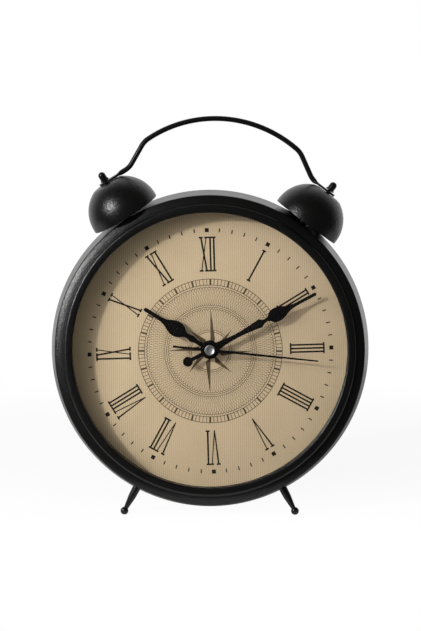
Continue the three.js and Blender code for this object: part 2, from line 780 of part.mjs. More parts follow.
function makeMinuteHand(front) {
  const rear = front + handThickness;
  const tail = block(-tailWidth / 2, tailWidth / 2, front, rear, -tailDiscAt, -minuteHand.boss / 2);
  const counterpoise = disc(tailDisc, front, rear, 0, -tailDiscAt);
  return makeSpadeHand(minuteHand, minuteTube + runningGap, front).add(tail).add(counterpoise);
}

function makeSecondHand(front) {
  const length = openingRadius - secondTipGap;
  const needle = new THREE.Shape();
  needle.moveTo(-secondWidth / 2, -secondTail);
  needle.lineTo(secondWidth / 2, -secondTail);
  needle.lineTo(secondTipWidth / 2, length);
  needle.lineTo(-secondTipWidth / 2, length);
  const rear = front + handThickness;
  const bore = rod(secondShaft + runningGap, front - overcut, rear + overcut);
  return plate(needle, front, rear).add(disc(secondBoss, front, rear)).subtract(bore);
}

function makeSecondCap(front, rear) {
  const round = (capRadius ** 2 + capHeight ** 2) / (2 * capHeight);
  const edge = THREE.MathUtils.radToDeg(Math.asin(capRadius / round));
  return turned([
    [0, rear],
    [capRadius, rear],
    ...arc(0, front + round, round, -90 + edge, -90, 4).slice(1, -1),
    [0, front],
  ], discSides);
}

// Movement

// The point at a clockwise direction and distance from another, as seen from the front.
function away(from, direction, distance) {
  const angle = radians(direction);
  return { x: from.x + distance * Math.sin(angle), z: from.z + distance * Math.cos(angle) };
}

const centreDistance = ({ wheel, pinion, module }) => ((wheel + pinion) * module) / 2;
const clockAxis = { x: 0, z: 0 };
const motionAxis = away(clockAxis, motionDirection, centreDistance(mesh.motion));
const knobDistance = ((mesh.motion.wheel + knobTeeth) * mesh.motion.module) / 2;
const knobAxis = away(motionAxis, knobDirection, knobDistance);
const thirdAxis = away(clockAxis, thirdDirection, centreDistance(mesh.third));
const intermediateAxis = away(clockAxis, intermediateDirection, centreDistance(mesh.seconds));
const rotorAxis = away(intermediateAxis, rotorDirection, centreDistance(mesh.intermediate));

// The housing is as deep as its levels need, as wide as the battery with its contacts, and reaches from the
// coil down past the battery's bay.
const levelStep = wheelThickness + 2 * pinionExtra + levelGap;
const boxFront = dialRear + seatGap;
const boxFloor = boxFront + boxWall;
const boxCoverFront = boxFloor + firstLevel + (Object.keys(mesh).length + 1) * levelStep;
const boxRear = boxCoverFront + boxWall;
const bayLength = batteryLength + nubLength + leafBow + 2 * contactThickness + 4 * seatGap;
const boxHalf = bayLength / 2 + boxWall;
const statorBottom = rotorAxis.z - stator.reach;
const statorTop = rotorAxis.z + stator.reach;
const coilBottom = statorTop + seatGap;
const boxTop = coilBottom + coil.height + coilRoom + boxWall;
const bayHeight = 2 * (batteryRadius + bayPlay);
const bayTop = -trainRoom - boxWall;
const bayBottom = bayTop - bayHeight;
const boxBottom = bayBottom - boxWall;
const levelFront = (level) => boxFloor + firstLevel + level * levelStep;

// A toothed outline with one tooth centred at a clockwise phase. A corner is a height over the pitch circle,
// in modules, and a place across the tooth, in half widths of a leaf.
function gear(teeth, module, from, to, phase, corners) {
  const toothHalf = (toothShare * 180) / teeth;
  const outline = [];
  for (let i = 0; i < teeth; i += 1) {
    for (const [height, share] of corners) {
      const angle = radians(phase + (360 * i) / teeth + share * toothHalf);
      const radius = (teeth / 2 + height) * module;
      outline.push(new THREE.Vector2(radius * Math.sin(angle), radius * Math.cos(angle)));
    }
  }
  return plate(new THREE.Shape(outline), from, to);
}

// Wheels have pointed teeth and gaps, and pinions have leaves with a narrower tip.
const wheelTooth = [[addendum, 0], [-wheelRoot, 1 / toothShare]];
const pinionLeaf = [[-leafRoot, -1], [addendum, -leafTip], [addendum, leafTip], [-leafRoot, 1]];

function wheel(name, phase) {
  const { wheel: teeth, module, level } = mesh[name];
  return gear(teeth, module, levelFront(level), levelFront(level) + wheelThickness, phase, wheelTooth);
}

function pinion(name, phase, teeth = mesh[name].pinion) {
  const { module, level } = mesh[name];
  const front = levelFront(level);
  return gear(teeth, module, front - pinionExtra, front + wheelThickness + pinionExtra, phase, pinionLeaf);
}

// The phase of a gear that another one meets along a direction, from that other one's phase and both counts.
function meetingPhase(phase, teeth, metTeeth, direction) {
  return direction + 180 + ((direction - phase) * teeth) / metTeeth + 180 / metTeeth;
}

// A pinion's leaf lies on the line of centres, and the wheel it drives has a gap there.
const wheelPhase = ({ pinion: leaves, wheel: teeth }, direction) =>
  meetingPhase(direction, leaves, teeth, direction);

const motionPhase = wheelPhase(mesh.motion, motionDirection);
const knobPhase = meetingPhase(motionPhase, mesh.motion.wheel, knobTeeth, knobDirection);
const hourPhase = wheelPhase(mesh.hour, motionDirection + 180);
const thirdPhase = wheelPhase(mesh.third, thirdDirection);
const centrePhase = wheelPhase(mesh.centre, thirdDirection + 180);
const secondsPhase = wheelPhase(mesh.seconds, intermediateDirection + 180);
const intermediatePhase = wheelPhase(mesh.intermediate, rotorDirection + 180);

const pivotFront = boxFloor - pivotSink + seatGap;
const pivotRear = boxCoverFront + pivotSink - seatGap;

// An arbor between the housing's floor and its cover, with a finer pivot at each end.
function arbor(radius) {
  const pivots = rod(pivotRadius, pivotFront, pivotRear, pivotSides);
  return rod(radius, boxFloor + seatGap, boxCoverFront - seatGap, pivotSides).add(pivots);
}

function makeHourWheel(end) {
  const sleeve = rod(hourTube, end, levelFront(0) + wheelThickness);
  return wheel('hour', hourPhase).add(sleeve).subtract(rod(hourBore, end - overcut, boxRear));
}

function makeMotionWheel() {
  const bore = rod(motionPost + runningGap, boxFloor, boxRear);
  const front = levelFront(0) - pinionExtra;
  const rear = levelFront(1) + wheelThickness;
  const hub = gear(mesh.hour.pinion, mesh.hour.module, front, rear, motionDirection + 180, pinionLeaf);
  return wheel('motion', motionPhase).add(hub).subtract(bore);
}

function makeCentreWheel(end) {
  const sleeve = rod(minuteTube, end, levelFront(2) + wheelThickness + pinionExtra);
  const made = wheel('centre', centrePhase).add(sleeve).add(pinion('motion', motionDirection));
  return made.subtract(rod(minuteBore, end - overcut, boxRear));
}

function makeThirdWheel() {
  return wheel('third', thirdPhase).add(pinion('centre', thirdDirection + 180)).add(arbor(secondShaft));
}

function makeSecondsWheel(end) {
  const shaft = rod(secondShaft, end, boxCoverFront - seatGap);
  const pivot = rod(pivotRadius, boxFloor, pivotRear, pivotSides);
  return wheel('seconds', secondsPhase).add(pinion('third', thirdDirection)).add(shaft).add(pivot);
}

function makeIntermediateWheel() {
  return wheel('intermediate', intermediatePhase)
    .add(pinion('seconds', intermediateDirection + 180))
    .add(arbor(secondShaft));
}

const statorFront = levelFront(4) - levelStep / 2;

function makeRotor() {
  const middle = statorFront + stator.thickness / 2;
  const magnet = rod(magnetRadius, middle - magnetHeight / 2, middle + magnetHeight / 2);
  return magnet.add(pinion('intermediate', rotorDirection + 180)).add(arbor(secondShaft));
}

function makeSettingKnob() {
  const front = boxRear + seatGap;
  const rear = front + knobThickness;
  const outline = [];
  for (let i = 0; i < 2 * knobFlutes; i += 1) {
    const angle = (Math.PI * i) / knobFlutes;
    const radius = i % 2 ? knobRadius : knobRadius - fluteDepth;
    outline.push(new THREE.Vector2(radius * Math.sin(angle), radius * Math.cos(angle)));
  }
  const grip = plate(new THREE.Shape(outline), front, rear);
  const shaft = rod(knobShaft, boxFloor + seatGap, front + sheet);
  const pivot = rod(pivotRadius, pivotFront, boxRear, pivotSides);
  return grip.add(shaft).add(pivot).add(pinion('motion', knobPhase, knobTeeth));
}

const at = (geometry, { x, z }) => geometry.translate(x, 0, z);

// A hole for a shaft at an axis of the train.
function shaftHole(axis, radius, from, to, sides = pivotSides) {
  const hole = new THREE.CylinderGeometry(radius, radius, to - from, sides);
  return solidOf(at(hole.translate(0, (from + to) / 2, 0), axis));
}

function makeHousing() {
  const outer = block(-boxHalf, boxHalf, boxFront, boxCoverFront - seatGap, boxBottom, boxTop);
  const inner = boxHalf - boxWall;
  const gearRoom = block(-inner, inner, boxFloor, boxRear, -trainRoom, boxTop - boxWall);
  const bay = block(-inner, inner, boxFloor, boxRear, bayBottom, bayTop);
  const post = rod(postOuter, postFront, boxFloor);
  let housing = outer.subtract(gearRoom).subtract(bay).add(post);
  housing = housing.add(floorPin(motionAxis, motionPost, levelFront(1) + wheelThickness));
  const hornMiddle = { x: (stator.width - stator.hornWidth) / 2, z: statorTop + stator.hornLength / 2 };
  for (const side of [-1, 1]) {
    const place = { x: side * hornMiddle.x, z: hornMiddle.z };
    housing = housing.add(floorPin(place, pillarRadius, statorFront - seatGap));
  }
  housing = housing.subtract(rod(postBore, 0, boxRear));
  for (const axis of [thirdAxis, intermediateAxis, rotorAxis, knobAxis]) {
    const hole = shaftHole(axis, pivotRadius + runningGap, boxFloor - pivotSink, boxRear);
    housing = housing.subtract(hole);
  }
  return housing;
}

// A pin that stands on the housing's floor: the motion wheel's axle, or a pillar under the stator.
function floorPin(axis, radius, to) {
  const pin = new THREE.CylinderGeometry(radius, radius, to - boxFront, shaftSides);
  return solidOf(at(pin.translate(0, (boxFront + to) / 2, 0), axis));
}

function makeMovementCover() {
  let cover = block(-boxHalf, boxHalf, boxCoverFront, boxRear, bayTop, boxTop);
  for (const axis of [clockAxis, thirdAxis, intermediateAxis, rotorAxis]) {
    const hole = shaftHole(axis, pivotRadius + runningGap, boxFloor, boxCoverFront + pivotSink);
    cover = cover.subtract(hole);
  }
  const knobHole = shaftHole(knobAxis, knobShaft + runningGap, boxFloor, 2 * boxRear, shaftSides);
  return cover.subtract(knobHole);
}

function makeDialWasher() {
  const rear = dialWasherFront + washerThickness;
  return tube(postOuter + runningGap, washerRadius, dialWasherFront, rear);
}

function makeDialNut() {
  const outline = hexOutline(dialNutFlats, postOuter + runningGap);
  return plate(outline, dialNutFront, dialNutFront + dialNutHeight);
}

function makeStator() {
  const rear = statorFront + stator.thickness;
  const side = stator.width / 2;
  const base = block(-side, side, statorFront, rear, statorBottom, statorTop);
  const hornTop = statorTop + stator.hornLength;
  const left = block(-side, -side + stator.hornWidth, statorFront, rear, rotorAxis.z, hornTop);
  const right = block(side - stator.hornWidth, side, statorFront, rear, rotorAxis.z, hornTop);
  const rotorHole = shaftHole(rotorAxis, magnetRadius + 2 * runningGap, boxFloor, boxRear, discSides);
  return base.add(left).add(right).subtract(rotorHole);
}

// The winding on its flanged bobbin, on a core strip that lies on the stator's horns.
function makeCoil() {
  const coreFront = statorFront + stator.thickness + seatGap;
  const coreRear = coreFront + stator.thickness;
  const middle = (coreFront + coreRear) / 2;
  const coilTop = coilBottom + coil.height;
  const centre = (coilBottom + coilTop) / 2;
  const side = coil.length / 2;
  const [left, right, coreHalf] = [-stator.width / 2, stator.width / 2, coil.core / 2];
  const core = block(left, right, coreFront, coreRear, centre - coreHalf, centre + coreHalf);
  const winding = crossRod(coil.winding / 2, -side, side, middle, centre);
  const flangeBox = (from) =>
    block(from, from + coil.flange, middle - coil.depth / 2, middle + coil.depth / 2, coilBottom, coilTop);
  return core.add(winding).add(flangeBox(-side)).add(flangeBox(side - coil.flange));
}

const boardFront = boxFloor + seatGap;
const boardRear = boardFront + board.thickness;
const boardRight = boxHalf - boxWall - boardRoom;
const boardMiddle = boardRight - board.width / 2;

// The board with the chip under its drop of resin.
function makeCircuitBoard() {
  const left = boardRight - board.width;
  const slab = block(left, boardRight, boardFront, boardRear, board.bottom, board.top);
  const drop = [
    [0, boardFront],
    [resinRadius, boardFront],
    [resinRadius, boardRear],
    [0, boardRear + resinHeight],
  ];
  const middle = { x: boardMiddle, z: (board.bottom + board.top) / 2 };
  return slab.add(solidOf(at(lathe(drop, shaftSides), middle)));
}

function makeCrystal() {
  const can = new THREE.CylinderGeometry(crystalRadius, crystalRadius, crystalLength, shaftSides);
  const depth = boardRear + seatGap + crystalRadius;
  return solidOf(can.rotateX(Math.PI / 2).translate(boardMiddle, depth, board.top - crystalLength));
}

// Battery

const bayMiddle = (bayBottom + bayTop) / 2;
const batteryDepth = boxFloor + seatGap + batteryRadius;
const bayEnd = boxHalf - boxWall;
const positiveFace = bayEnd - seatGap - contactThickness;
const nubEnd = positiveFace - seatGap;
const canRight = nubEnd - nubLength;
const canLeft = canRight - batteryLength;

function makeBattery() {
  const can = crossRod(batteryRadius, canLeft, canRight, batteryDepth, bayMiddle, discSides);
  return can.add(crossRod(nubRadius, canRight - nubLength, nubEnd, batteryDepth, bayMiddle));
}

const contactBottom = bayMiddle - contactHeight / 2;
const contactTop = bayMiddle + contactHeight / 2;

function makePositiveContact() {
  return block(positiveFace, bayEnd - seatGap, boardFront, boxCoverFront, contactBottom, contactTop);
}

// A leaf of sheet brass bowed towards the battery.
function makeNegativeContact() {
  const wallFace = -bayEnd + seatGap;
  const middle = (boardFront + boxCoverFront) / 2;
  const innerFace = wallFace + contactThickness;
  const leaf = new THREE.Shape();
  leaf.moveTo(wallFace, boardFront);
  leaf.quadraticCurveTo(wallFace + 2 * leafBow, middle, wallFace, boxCoverFront);
  leaf.lineTo(innerFace, boxCoverFront);
  leaf.quadraticCurveTo(innerFace + 2 * leafBow, middle, innerFace, boardFront);
  const options = { depth: contactHeight, bevelEnabled: false, curveSegments: 8 };
  return solidOf(new THREE.ExtrudeGeometry(leaf, options).translate(0, 0, contactBottom));
}

// Assembly

function buildBellSide(side) {
  const group = groupAt(bellPlace(side, topTurn));
  group.add(
    piece(`bell_${side}`, makeBell(), finish.powderBlack),
    piece(`bell_post_${side}`, makeBellPost(side), finish.zincSteel),
    piece(`bell_stud_${side}`, makeBellStud(), finish.zincSteel),
    piece(`bell_nut_${side}`, makeBellNut(), finish.glossBlack),
    piece(`stud_nut_${side}`, makeHexNut(bellDepth, bellLean[side]), finish.zincSteel),
  );
  return group;
}

function buildHandle() {
  const group = groupAt(station(topTurn, 0));
  group.add(piece('handle', makeHandle(), finish.glossBlack));
  return group;
}

function buildLeg(side) {
  const group = groupAt(station(legAngles[side], legDepth));
  group.add(
    piece(`leg_${side}`, makeLeg(legAngles[side]), finish.glossBlack),
    piece(`leg_nut_${side}`, makeHexNut(legDepth), finish.zincSteel),
  );
  return group;
}

function buildBackScrew(i) {
  const screw = piece(`back_screw_${i + 1}`, makeBackScrew(), finish.zincSteel);
  const [x, z] = screwPlace(i);
  screw.position.set(x, 0, z);
  return screw;
}

function buildCase() {
  const group = new THREE.Group();
  group.add(
    piece('bezel', makeBezel(), finish.powderBlack),
    piece('glass', makeGlass(), finish.glass),
    piece('spacer_ring', makeSpacerRing(), finish.blackPlastic),
    piece('dial', makeDial(), finish.paper),
    piece('case_drum', makeDrum(), finish.powderBlack),
    piece('back_cover', makeBackCover(), finish.blackPlastic),
  );
  for (let i = 0; i < screwCount; i += 1) group.add(buildBackScrew(i));
  for (const side of ['left', 'right']) group.add(buildBellSide(side), buildLeg(side));
  group.add(buildHandle());
  return group;
}

// A piece that turns about one of the train's axes.
function onAxis(made, axis, angle = 0) {
  made.position.set(axis.x, 0, axis.z);
  made.rotation.y = radians(angle);
  return made;
}

function buildTrain() {
  const group = new THREE.Group();
  const secondEnd = secondFront + seatGap;
  group.add(
    onAxis(piece('hour_wheel', makeHourWheel(hourFront - seatGap), finish.whitePlastic), clockAxis),
    onAxis(piece('motion_wheel', makeMotionWheel(), finish.whitePlastic), motionAxis),
    onAxis(piece('centre_wheel', makeCentreWheel(minuteFront - seatGap), finish.brass), clockAxis),
    onAxis(piece('third_wheel', makeThirdWheel(), finish.whitePlastic), thirdAxis),
    onAxis(piece('seconds_wheel', makeSecondsWheel(secondEnd), finish.whitePlastic), clockAxis),
    onAxis(piece('intermediate_wheel', makeIntermediateWheel(), finish.whitePlastic), intermediateAxis),
    onAxis(piece('rotor', makeRotor(), finish.zincSteel), rotorAxis),
    onAxis(piece('setting_knob', makeSettingKnob(), finish.blackPlastic), knobAxis),
  );
  return group;
}

function buildHands() {
  const group = new THREE.Group();
  const hourBlade = makeSpadeHand(hourHand, hourTube + runningGap, hourFront);
  const hour = piece('hour_hand', hourBlade, finish.handBlack);
  const minute = piece('minute_hand', makeMinuteHand(minuteFront), finish.handBlack);
  const second = piece('second_hand', makeSecondHand(secondFront), finish.handBlack);
  const cap = piece('second_hand_cap', makeSecondCap(capFront, capFront + capHeight), finish.chrome);
  group.add(
    onAxis(hour, clockAxis, hourAngle),
    onAxis(minute, clockAxis, minuteAngle),
    onAxis(second, clockAxis, secondAngle),
    onAxis(cap, clockAxis, secondAngle),
  );
  return group;
}

function buildMovement() {
  const group = new THREE.Group();
  group.add(
    piece('movement_housing', makeHousing(), finish.blackPlastic),
    piece('movement_cover', makeMovementCover(), finish.blackPlastic),
    piece('dial_washer', makeDialWasher(), finish.brass),
    piece('dial_nut', makeDialNut(), finish.brass),
    piece('stator', makeStator(), finish.zincSteel),
    piece('coil', makeCoil(), finish.copper),
    piece('circuit_board', makeCircuitBoard(), finish.boardGreen),
    piece('quartz_crystal', makeCrystal(), finish.zincSteel),
    piece('contact_positive', makePositiveContact(), finish.brass),
    piece('contact_negative', makeNegativeContact(), finish.brass),
    piece('battery', makeBattery(), finish.batteryLabel),
  );
  return group;
}

// The body leans back on its feet and the drum's rear edge, centred over its own box.
function buildClock() {
  const body = new THREE.Group();
  body.add(buildCase(), buildHands(), buildMovement(), buildTrain());
  body.applyMatrix4(bodyTurn);
  const clock = new THREE.Group();
  clock.name = 'table_clock';
  clock.add(body);
  const box = new THREE.Box3().setFromObject(clock, true);
  body.position.set(-(box.min.x + box.max.x) / 2, -(box.min.y + box.max.y) / 2, -box.min.z);
  return clock;
}

export default buildClock();
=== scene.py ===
import json
import math

import bmesh
import bpy
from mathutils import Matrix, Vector


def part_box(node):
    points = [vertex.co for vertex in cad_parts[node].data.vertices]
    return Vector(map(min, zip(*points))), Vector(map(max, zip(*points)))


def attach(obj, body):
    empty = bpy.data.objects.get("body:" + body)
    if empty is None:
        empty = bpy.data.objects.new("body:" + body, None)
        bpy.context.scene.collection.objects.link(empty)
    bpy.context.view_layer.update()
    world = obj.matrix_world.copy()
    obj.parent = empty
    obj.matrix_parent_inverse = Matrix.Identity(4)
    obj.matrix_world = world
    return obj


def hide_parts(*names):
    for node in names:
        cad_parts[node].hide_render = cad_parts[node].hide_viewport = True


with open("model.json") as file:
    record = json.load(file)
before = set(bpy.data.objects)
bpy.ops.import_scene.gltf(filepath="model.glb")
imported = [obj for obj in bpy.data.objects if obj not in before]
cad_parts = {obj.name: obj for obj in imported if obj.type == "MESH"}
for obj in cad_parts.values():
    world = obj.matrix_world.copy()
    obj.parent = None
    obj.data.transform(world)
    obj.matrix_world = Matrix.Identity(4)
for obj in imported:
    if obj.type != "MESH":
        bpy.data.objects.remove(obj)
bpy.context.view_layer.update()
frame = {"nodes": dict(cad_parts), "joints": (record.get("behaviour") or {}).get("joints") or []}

# View. The clock stands at eye level for a product picture, taken with a long lens from in front and a
# little above. Every piece is placed in the clock's own directions, which lean back with the dial.
PICTURE_HEIGHT = 631
LENS_PIXELS = 2593.6
CAMERA_DISTANCE = 1900.0
CAMERA_ELEVATION = math.radians(9.21)
CAMERA_AZIMUTH = math.radians(0.43)
AIM = (0.4, 0.0, 142.9)
MM = 0.001

dial_turn = next(joint for joint in frame["joints"] if joint["name"] == "seconds_turn")
hub = Vector(dial_turn["pos_m"])
across = Vector((1.0, 0.0, 0.0))
rearward = Vector(dial_turn["axis"]).normalized()
upward = across.cross(rearward)


def place(x, depth, height):
    """The point that many millimetres across, behind the bezel's front and above the dial's centre."""
    return hub + MM * (x * across + depth * rearward + height * upward)


towards_camera = Vector((
    math.sin(CAMERA_AZIMUTH) * math.cos(CAMERA_ELEVATION),
    -math.cos(CAMERA_AZIMUTH) * math.cos(CAMERA_ELEVATION),
    math.sin(CAMERA_ELEVATION),
))
lens = bpy.data.cameras.new("camera")
lens.sensor_fit = "VERTICAL"
lens.sensor_height = 24.0
lens.lens = LENS_PIXELS * lens.sensor_height / PICTURE_HEIGHT
camera = bpy.data.objects.new("camera", lens)
camera.location = MM * Vector(AIM) + MM * CAMERA_DISTANCE * towards_camera
camera.rotation_euler = towards_camera.to_track_quat("Z", "Y").to_euler()
bpy.context.collection.objects.link(camera)
bpy.context.scene.camera = camera
bpy.context.scene.view_settings.view_transform = "Standard"

# Drum. The case's body is spun from aluminium sheet: a collar that goes into the bezel, a wall that flares
# to the rear and an in-turned flange for the back cover. It is powder-coated black.
SHEET = 1.0
COLLAR_RADIUS = 111.6
COLLAR_FRONT = 7.0
COLLAR_END = 9.8
REAR_CENTRE = (114.5, 38.4)
REAR_ROUND = 2.6
WALL_ANGLE = -11
FLANGE_RADIUS = 101.0
DIAL_TAB_COUNT = 4
DIAL_TAB_FRONT = 19.8
DIAL_TAB_INNER = 104.4
DIAL_TAB_WIDTH = 14.0
CASE_SIDES = 180
SMOOTH_BELOW = math.radians(32)


def arc(radius, along, bend, start, end, steps):
    """Points of a profile's bend round the centre at radius and along, from start to end in degrees."""
    turns = [math.radians(start + (end - start) * step / steps) for step in range(steps + 1)]
    return [(radius + bend * math.cos(turn), along + bend * math.sin(turn)) for turn in turns]


def turned(profile, spot, sides):
    """A solid of revolution. A profile from axis to axis is closed there, any other on itself."""
    made = bmesh.new()
    rings = []
    for radius, along in profile:
        ring = []
        for step in range(sides if radius else 1):
            turn = math.tau * step / sides
            reach = radius(turn) if callable(radius) else radius
            ring.append(made.verts.new(spot(reach, along, turn)))
        rings.append(ring)
    pairs = list(zip(rings, rings[1:]))
    if len(rings[0]) > 1:
        pairs.append((rings[-1], rings[0]))
    for near, far in pairs:
        for step in range(sides):
            spots = ((near, step), (near, step + 1), (far, step + 1), (far, step))
            corners = [row[at % len(row)] for row, at in spots]
            made.faces.new(list(dict.fromkeys(corners)))
    return made


def on_case(radius, depth, turn):
    """The point at a radius and a depth, turned clockwise round the dial's axis from the top."""
    return place(radius * math.sin(turn), depth, radius * math.cos(turn))


def out_and_over(turn):
    """Steps of a millimetre outward from the dial's axis and clockwise round it."""
    return on_case(1, 0, turn) - hub, on_case(1, 0, turn + math.pi / 2) - hub


def join(made, near, far):
    """Adds the band of faces between two closed rows of corners."""
    for i in range(len(near)):
        made.faces.new((near[i - 1], near[i], far[i], far[i - 1]))


def add_block(made, corner, steps):
    """Adds a closed box from a corner point along three steps."""
    along, over, through = steps
    near = [corner, corner + along, corner + along + over, corner + over]
    rims = [[made.verts.new(point + shift) for point in near] for shift in (Vector(), through)]
    made.faces.new(rims[0])
    made.faces.new(rims[1])
    join(made, *rims)


def piece(name, made, finish, body, slot, *replaced):
    """Makes an object of a mesh, gives it its finish and puts it on its body."""
    bmesh.ops.recalc_face_normals(made, faces=made.faces[:])
    mesh = bpy.data.meshes.new(name)
    made.to_mesh(mesh)
    made.free()
    mesh.materials.append(finish)
    mesh.shade_smooth()
    mesh.set_sharp_from_angle(angle=SMOOTH_BELOW)
    shown = bpy.data.objects.new(name, mesh)
    bpy.context.collection.objects.link(shown)
    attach(shown, body)
    if replaced:
        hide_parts(*replaced)
    return shown


def linear(code):
    """An sRGB hex colour as the linear one that sockets take."""
    shares = [int(code[at:at + 2], 16) / 255 for at in (1, 3, 5)]
    return [s / 12.92 if s <= 0.04045 else ((s + 0.055) / 1.055) ** 2.4 for s in shares] + [1.0]


def add(tree, kind, sockets=None, **settings):
    """Adds a node. A socket is given a value, a hex colour, or another node's output to link."""
    node = tree.nodes.new(kind)
    for name, value in settings.items():
        setattr(node, name, value)
    for key, value in (sockets or {}).items():
        if isinstance(value, bpy.types.NodeSocket):
            tree.links.new(value, node.inputs[key])
        else:
            node.inputs[key].default_value = linear(value) if isinstance(value, str) else value
    return node


def add_math(tree, operation, first, second):
    """Adds an operation on two numbers, and gives its result."""
    return add(tree, "ShaderNodeMath", {0: first, 1: second}, operation=operation).outputs["Value"]


def add_noise(tree, where, size, detail, roughness=0.5):
    """Adds a cloudy pattern of a size in millimetres, from 0 to 1."""
    sockets = {"Vector": where, "Scale": 1 / (MM * size), "Detail": detail, "Roughness": roughness}
    return add(tree, "ShaderNodeTexNoise", sockets).outputs["Fac"]


def add_blend(tree, share, dark, light):
    """Adds a passage from one colour to another, by a share."""
    return add(tree, "ShaderNodeMix", {0: share, 6: dark, 7: light}, data_type="RGBA").outputs[2]


def add_range(tree, share, low, high):
    """Adds a passage from one number to another, by a share."""
    return add(tree, "ShaderNodeMapRange", {"Value": share, "To Min": low, "To Max": high}).outputs["Result"]


def add_bump(tree, share, strength, height):
    """Adds a relief of a height in millimetres, by a share."""
    sockets = {"Height": share, "Strength": strength, "Distance": MM * height}
    return add(tree, "ShaderNodeBump", sockets).outputs["Normal"]


def add_coat(tree, colour, roughness, sockets):
    """Adds the surface that a finish ends in."""
    sockets = {"Base Color": colour, "Roughness": roughness, **sockets}
    surface = add(tree, "ShaderNodeBsdfPrincipled", sockets)
    add(tree, "ShaderNodeOutputMaterial", {"Surface": surface.outputs["BSDF"]})


def new_finish(name):
    """An empty node material, with its tree and the coordinates that its patterns lie in, in metres."""
    finish = bpy.data.materials.new(name)
    finish.use_nodes = True
    tree = finish.node_tree
    tree.nodes.clear()
    return finish, tree, add(tree, "ShaderNodeTexCoord").outputs["Object"]


# Sand-textured black powder coat: baked grains give a dull, faintly sparkling black that turns pale
# at a grazing angle. The real grain of about 0.4 mm is drawn coarser, so that it shows.
POWDER_GRAIN = 1.25
POWDER_CLOUD = 18.0
powder_coat, tree, where = new_finish("sand_textured_black_powder_coat")
grain = add_noise(tree, where, POWDER_GRAIN, 2.0, 0.6)
cloud = add_noise(tree, where, POWDER_CLOUD, 4.0)
colour = add_blend(tree, cloud, "#090808", "#11100f")
gloss = add_range(tree, grain, 0.22, 0.42)
add_coat(tree, colour, gloss, {"IOR": 1.5, "Normal": add_bump(tree, grain, 0.6, 0.4)})

drum = turned([
    (COLLAR_RADIUS, COLLAR_FRONT),
    (COLLAR_RADIUS, COLLAR_END),
    *arc(*REAR_CENTRE, REAR_ROUND, WALL_ANGLE, 90, 8),
    (FLANGE_RADIUS, REAR_CENTRE[1] + REAR_ROUND),
    (FLANGE_RADIUS, REAR_CENTRE[1] + REAR_ROUND - SHEET),
    *arc(*REAR_CENTRE, REAR_ROUND - SHEET, 90, WALL_ANGLE, 5),
    (COLLAR_RADIUS - SHEET, COLLAR_END),
    (COLLAR_RADIUS - SHEET, COLLAR_FRONT),
], on_case, CASE_SIDES)
for i in range(DIAL_TAB_COUNT):
    turn = math.tau * i / DIAL_TAB_COUNT
    out, over = out_and_over(turn)
    corner = on_case(DIAL_TAB_INNER, DIAL_TAB_FRONT, turn) - over * DIAL_TAB_WIDTH / 2
    reach = COLLAR_RADIUS - DIAL_TAB_INNER
    add_block(drum, corner, (over * DIAL_TAB_WIDTH, out * reach, MM * SHEET * rearward))
piece("drum", drum, powder_coat, "case", "black_coated_aluminium", "case_drum")

# Legs. Two tapered steel legs end in ball feet and are bolted through the drum's wall with a nut
# inside. They are turned, then sprayed with gloss black paint.
LEG_ANGLE = 27.9
LEG_DEPTH = 12.8
LEG_ROOT = (3.05, 112.0)
LEG_MIDDLE = (2.75, 121.5)
LEG_NECK = 1.6
BALL_RADIUS = 2.9
BALL_CENTRE = 133.18
LEG_THREAD = (1.5, 106.8)
ROOT_EDGE = 0.4
FITTING_SIDES = 40


def on_station(angle, depth, lean=0.0, seat=0.0):
    """Where a turned fitting's profile goes when its axis stands on the drum at a clockwise angle.

    The axis may lean to the front, about its point at the seat's distance from the clock's axis."""
    sine, cosine = math.sin(math.radians(angle)), math.cos(math.radians(angle))
    forth, up = math.sin(math.radians(lean)), math.cos(math.radians(lean))

    def spot(radius, along, turn):
        side, back = radius * math.cos(turn), radius * math.sin(turn)
        reach = seat + (along - seat) * up + back * forth
        behind = depth + back * up - (along - seat) * forth
        return place(reach * sine + side * cosine, behind, reach * cosine - side * sine)

    return spot


def dress(finish, *names):
    """Gives CAD nodes their finish."""
    for name in names:
        mesh = frame["nodes"][name].data
        mesh.materials.clear()
        mesh.materials.append(finish)


def mottled(name, size, detail, dark, light, roughness, sockets, relief=None):
    """A finish whose colour and gloss vary together, in a pattern of a size in millimetres.

    Its roughness is a number or a range, its relief a bump's strength and height in millimetres."""
    finish, tree, where = new_finish(name)
    share = add_noise(tree, where, size, detail)
    colour = add_blend(tree, share, dark, light)
    if isinstance(roughness, tuple):
        roughness = add_range(tree, share, *roughness)
    if relief:
        sockets = {"Normal": add_bump(tree, share, *relief), **sockets}
    add_coat(tree, colour, roughness, sockets)
    return finish


# Gloss black enamel: a smooth sprayed coat with sharp highlights. The faint waviness of a sprayed coat,
# a few millimetres long, breaks them.
ENAMEL_WAVE = 4.0
gloss_paint = mottled(
    "gloss_black_enamel_on_steel", ENAMEL_WAVE, 2.0, "#0a0909", "#131211", (0.24, 0.34), {"IOR": 1.5},
    relief=(0.05, 0.05))

# Zinc-plated steel: a bluish grey bright plating, mottled by the bath over a few tenths of a millimetre,
# drawn coarser so that it shows.
ZINC_MOTTLE = 1.2
zinc_steel = mottled(
    "zinc_plated_steel", ZINC_MOTTLE, 4.0, "#8f9295", "#b9bbbb", (0.35, 0.55), {"Metallic": 1.0})

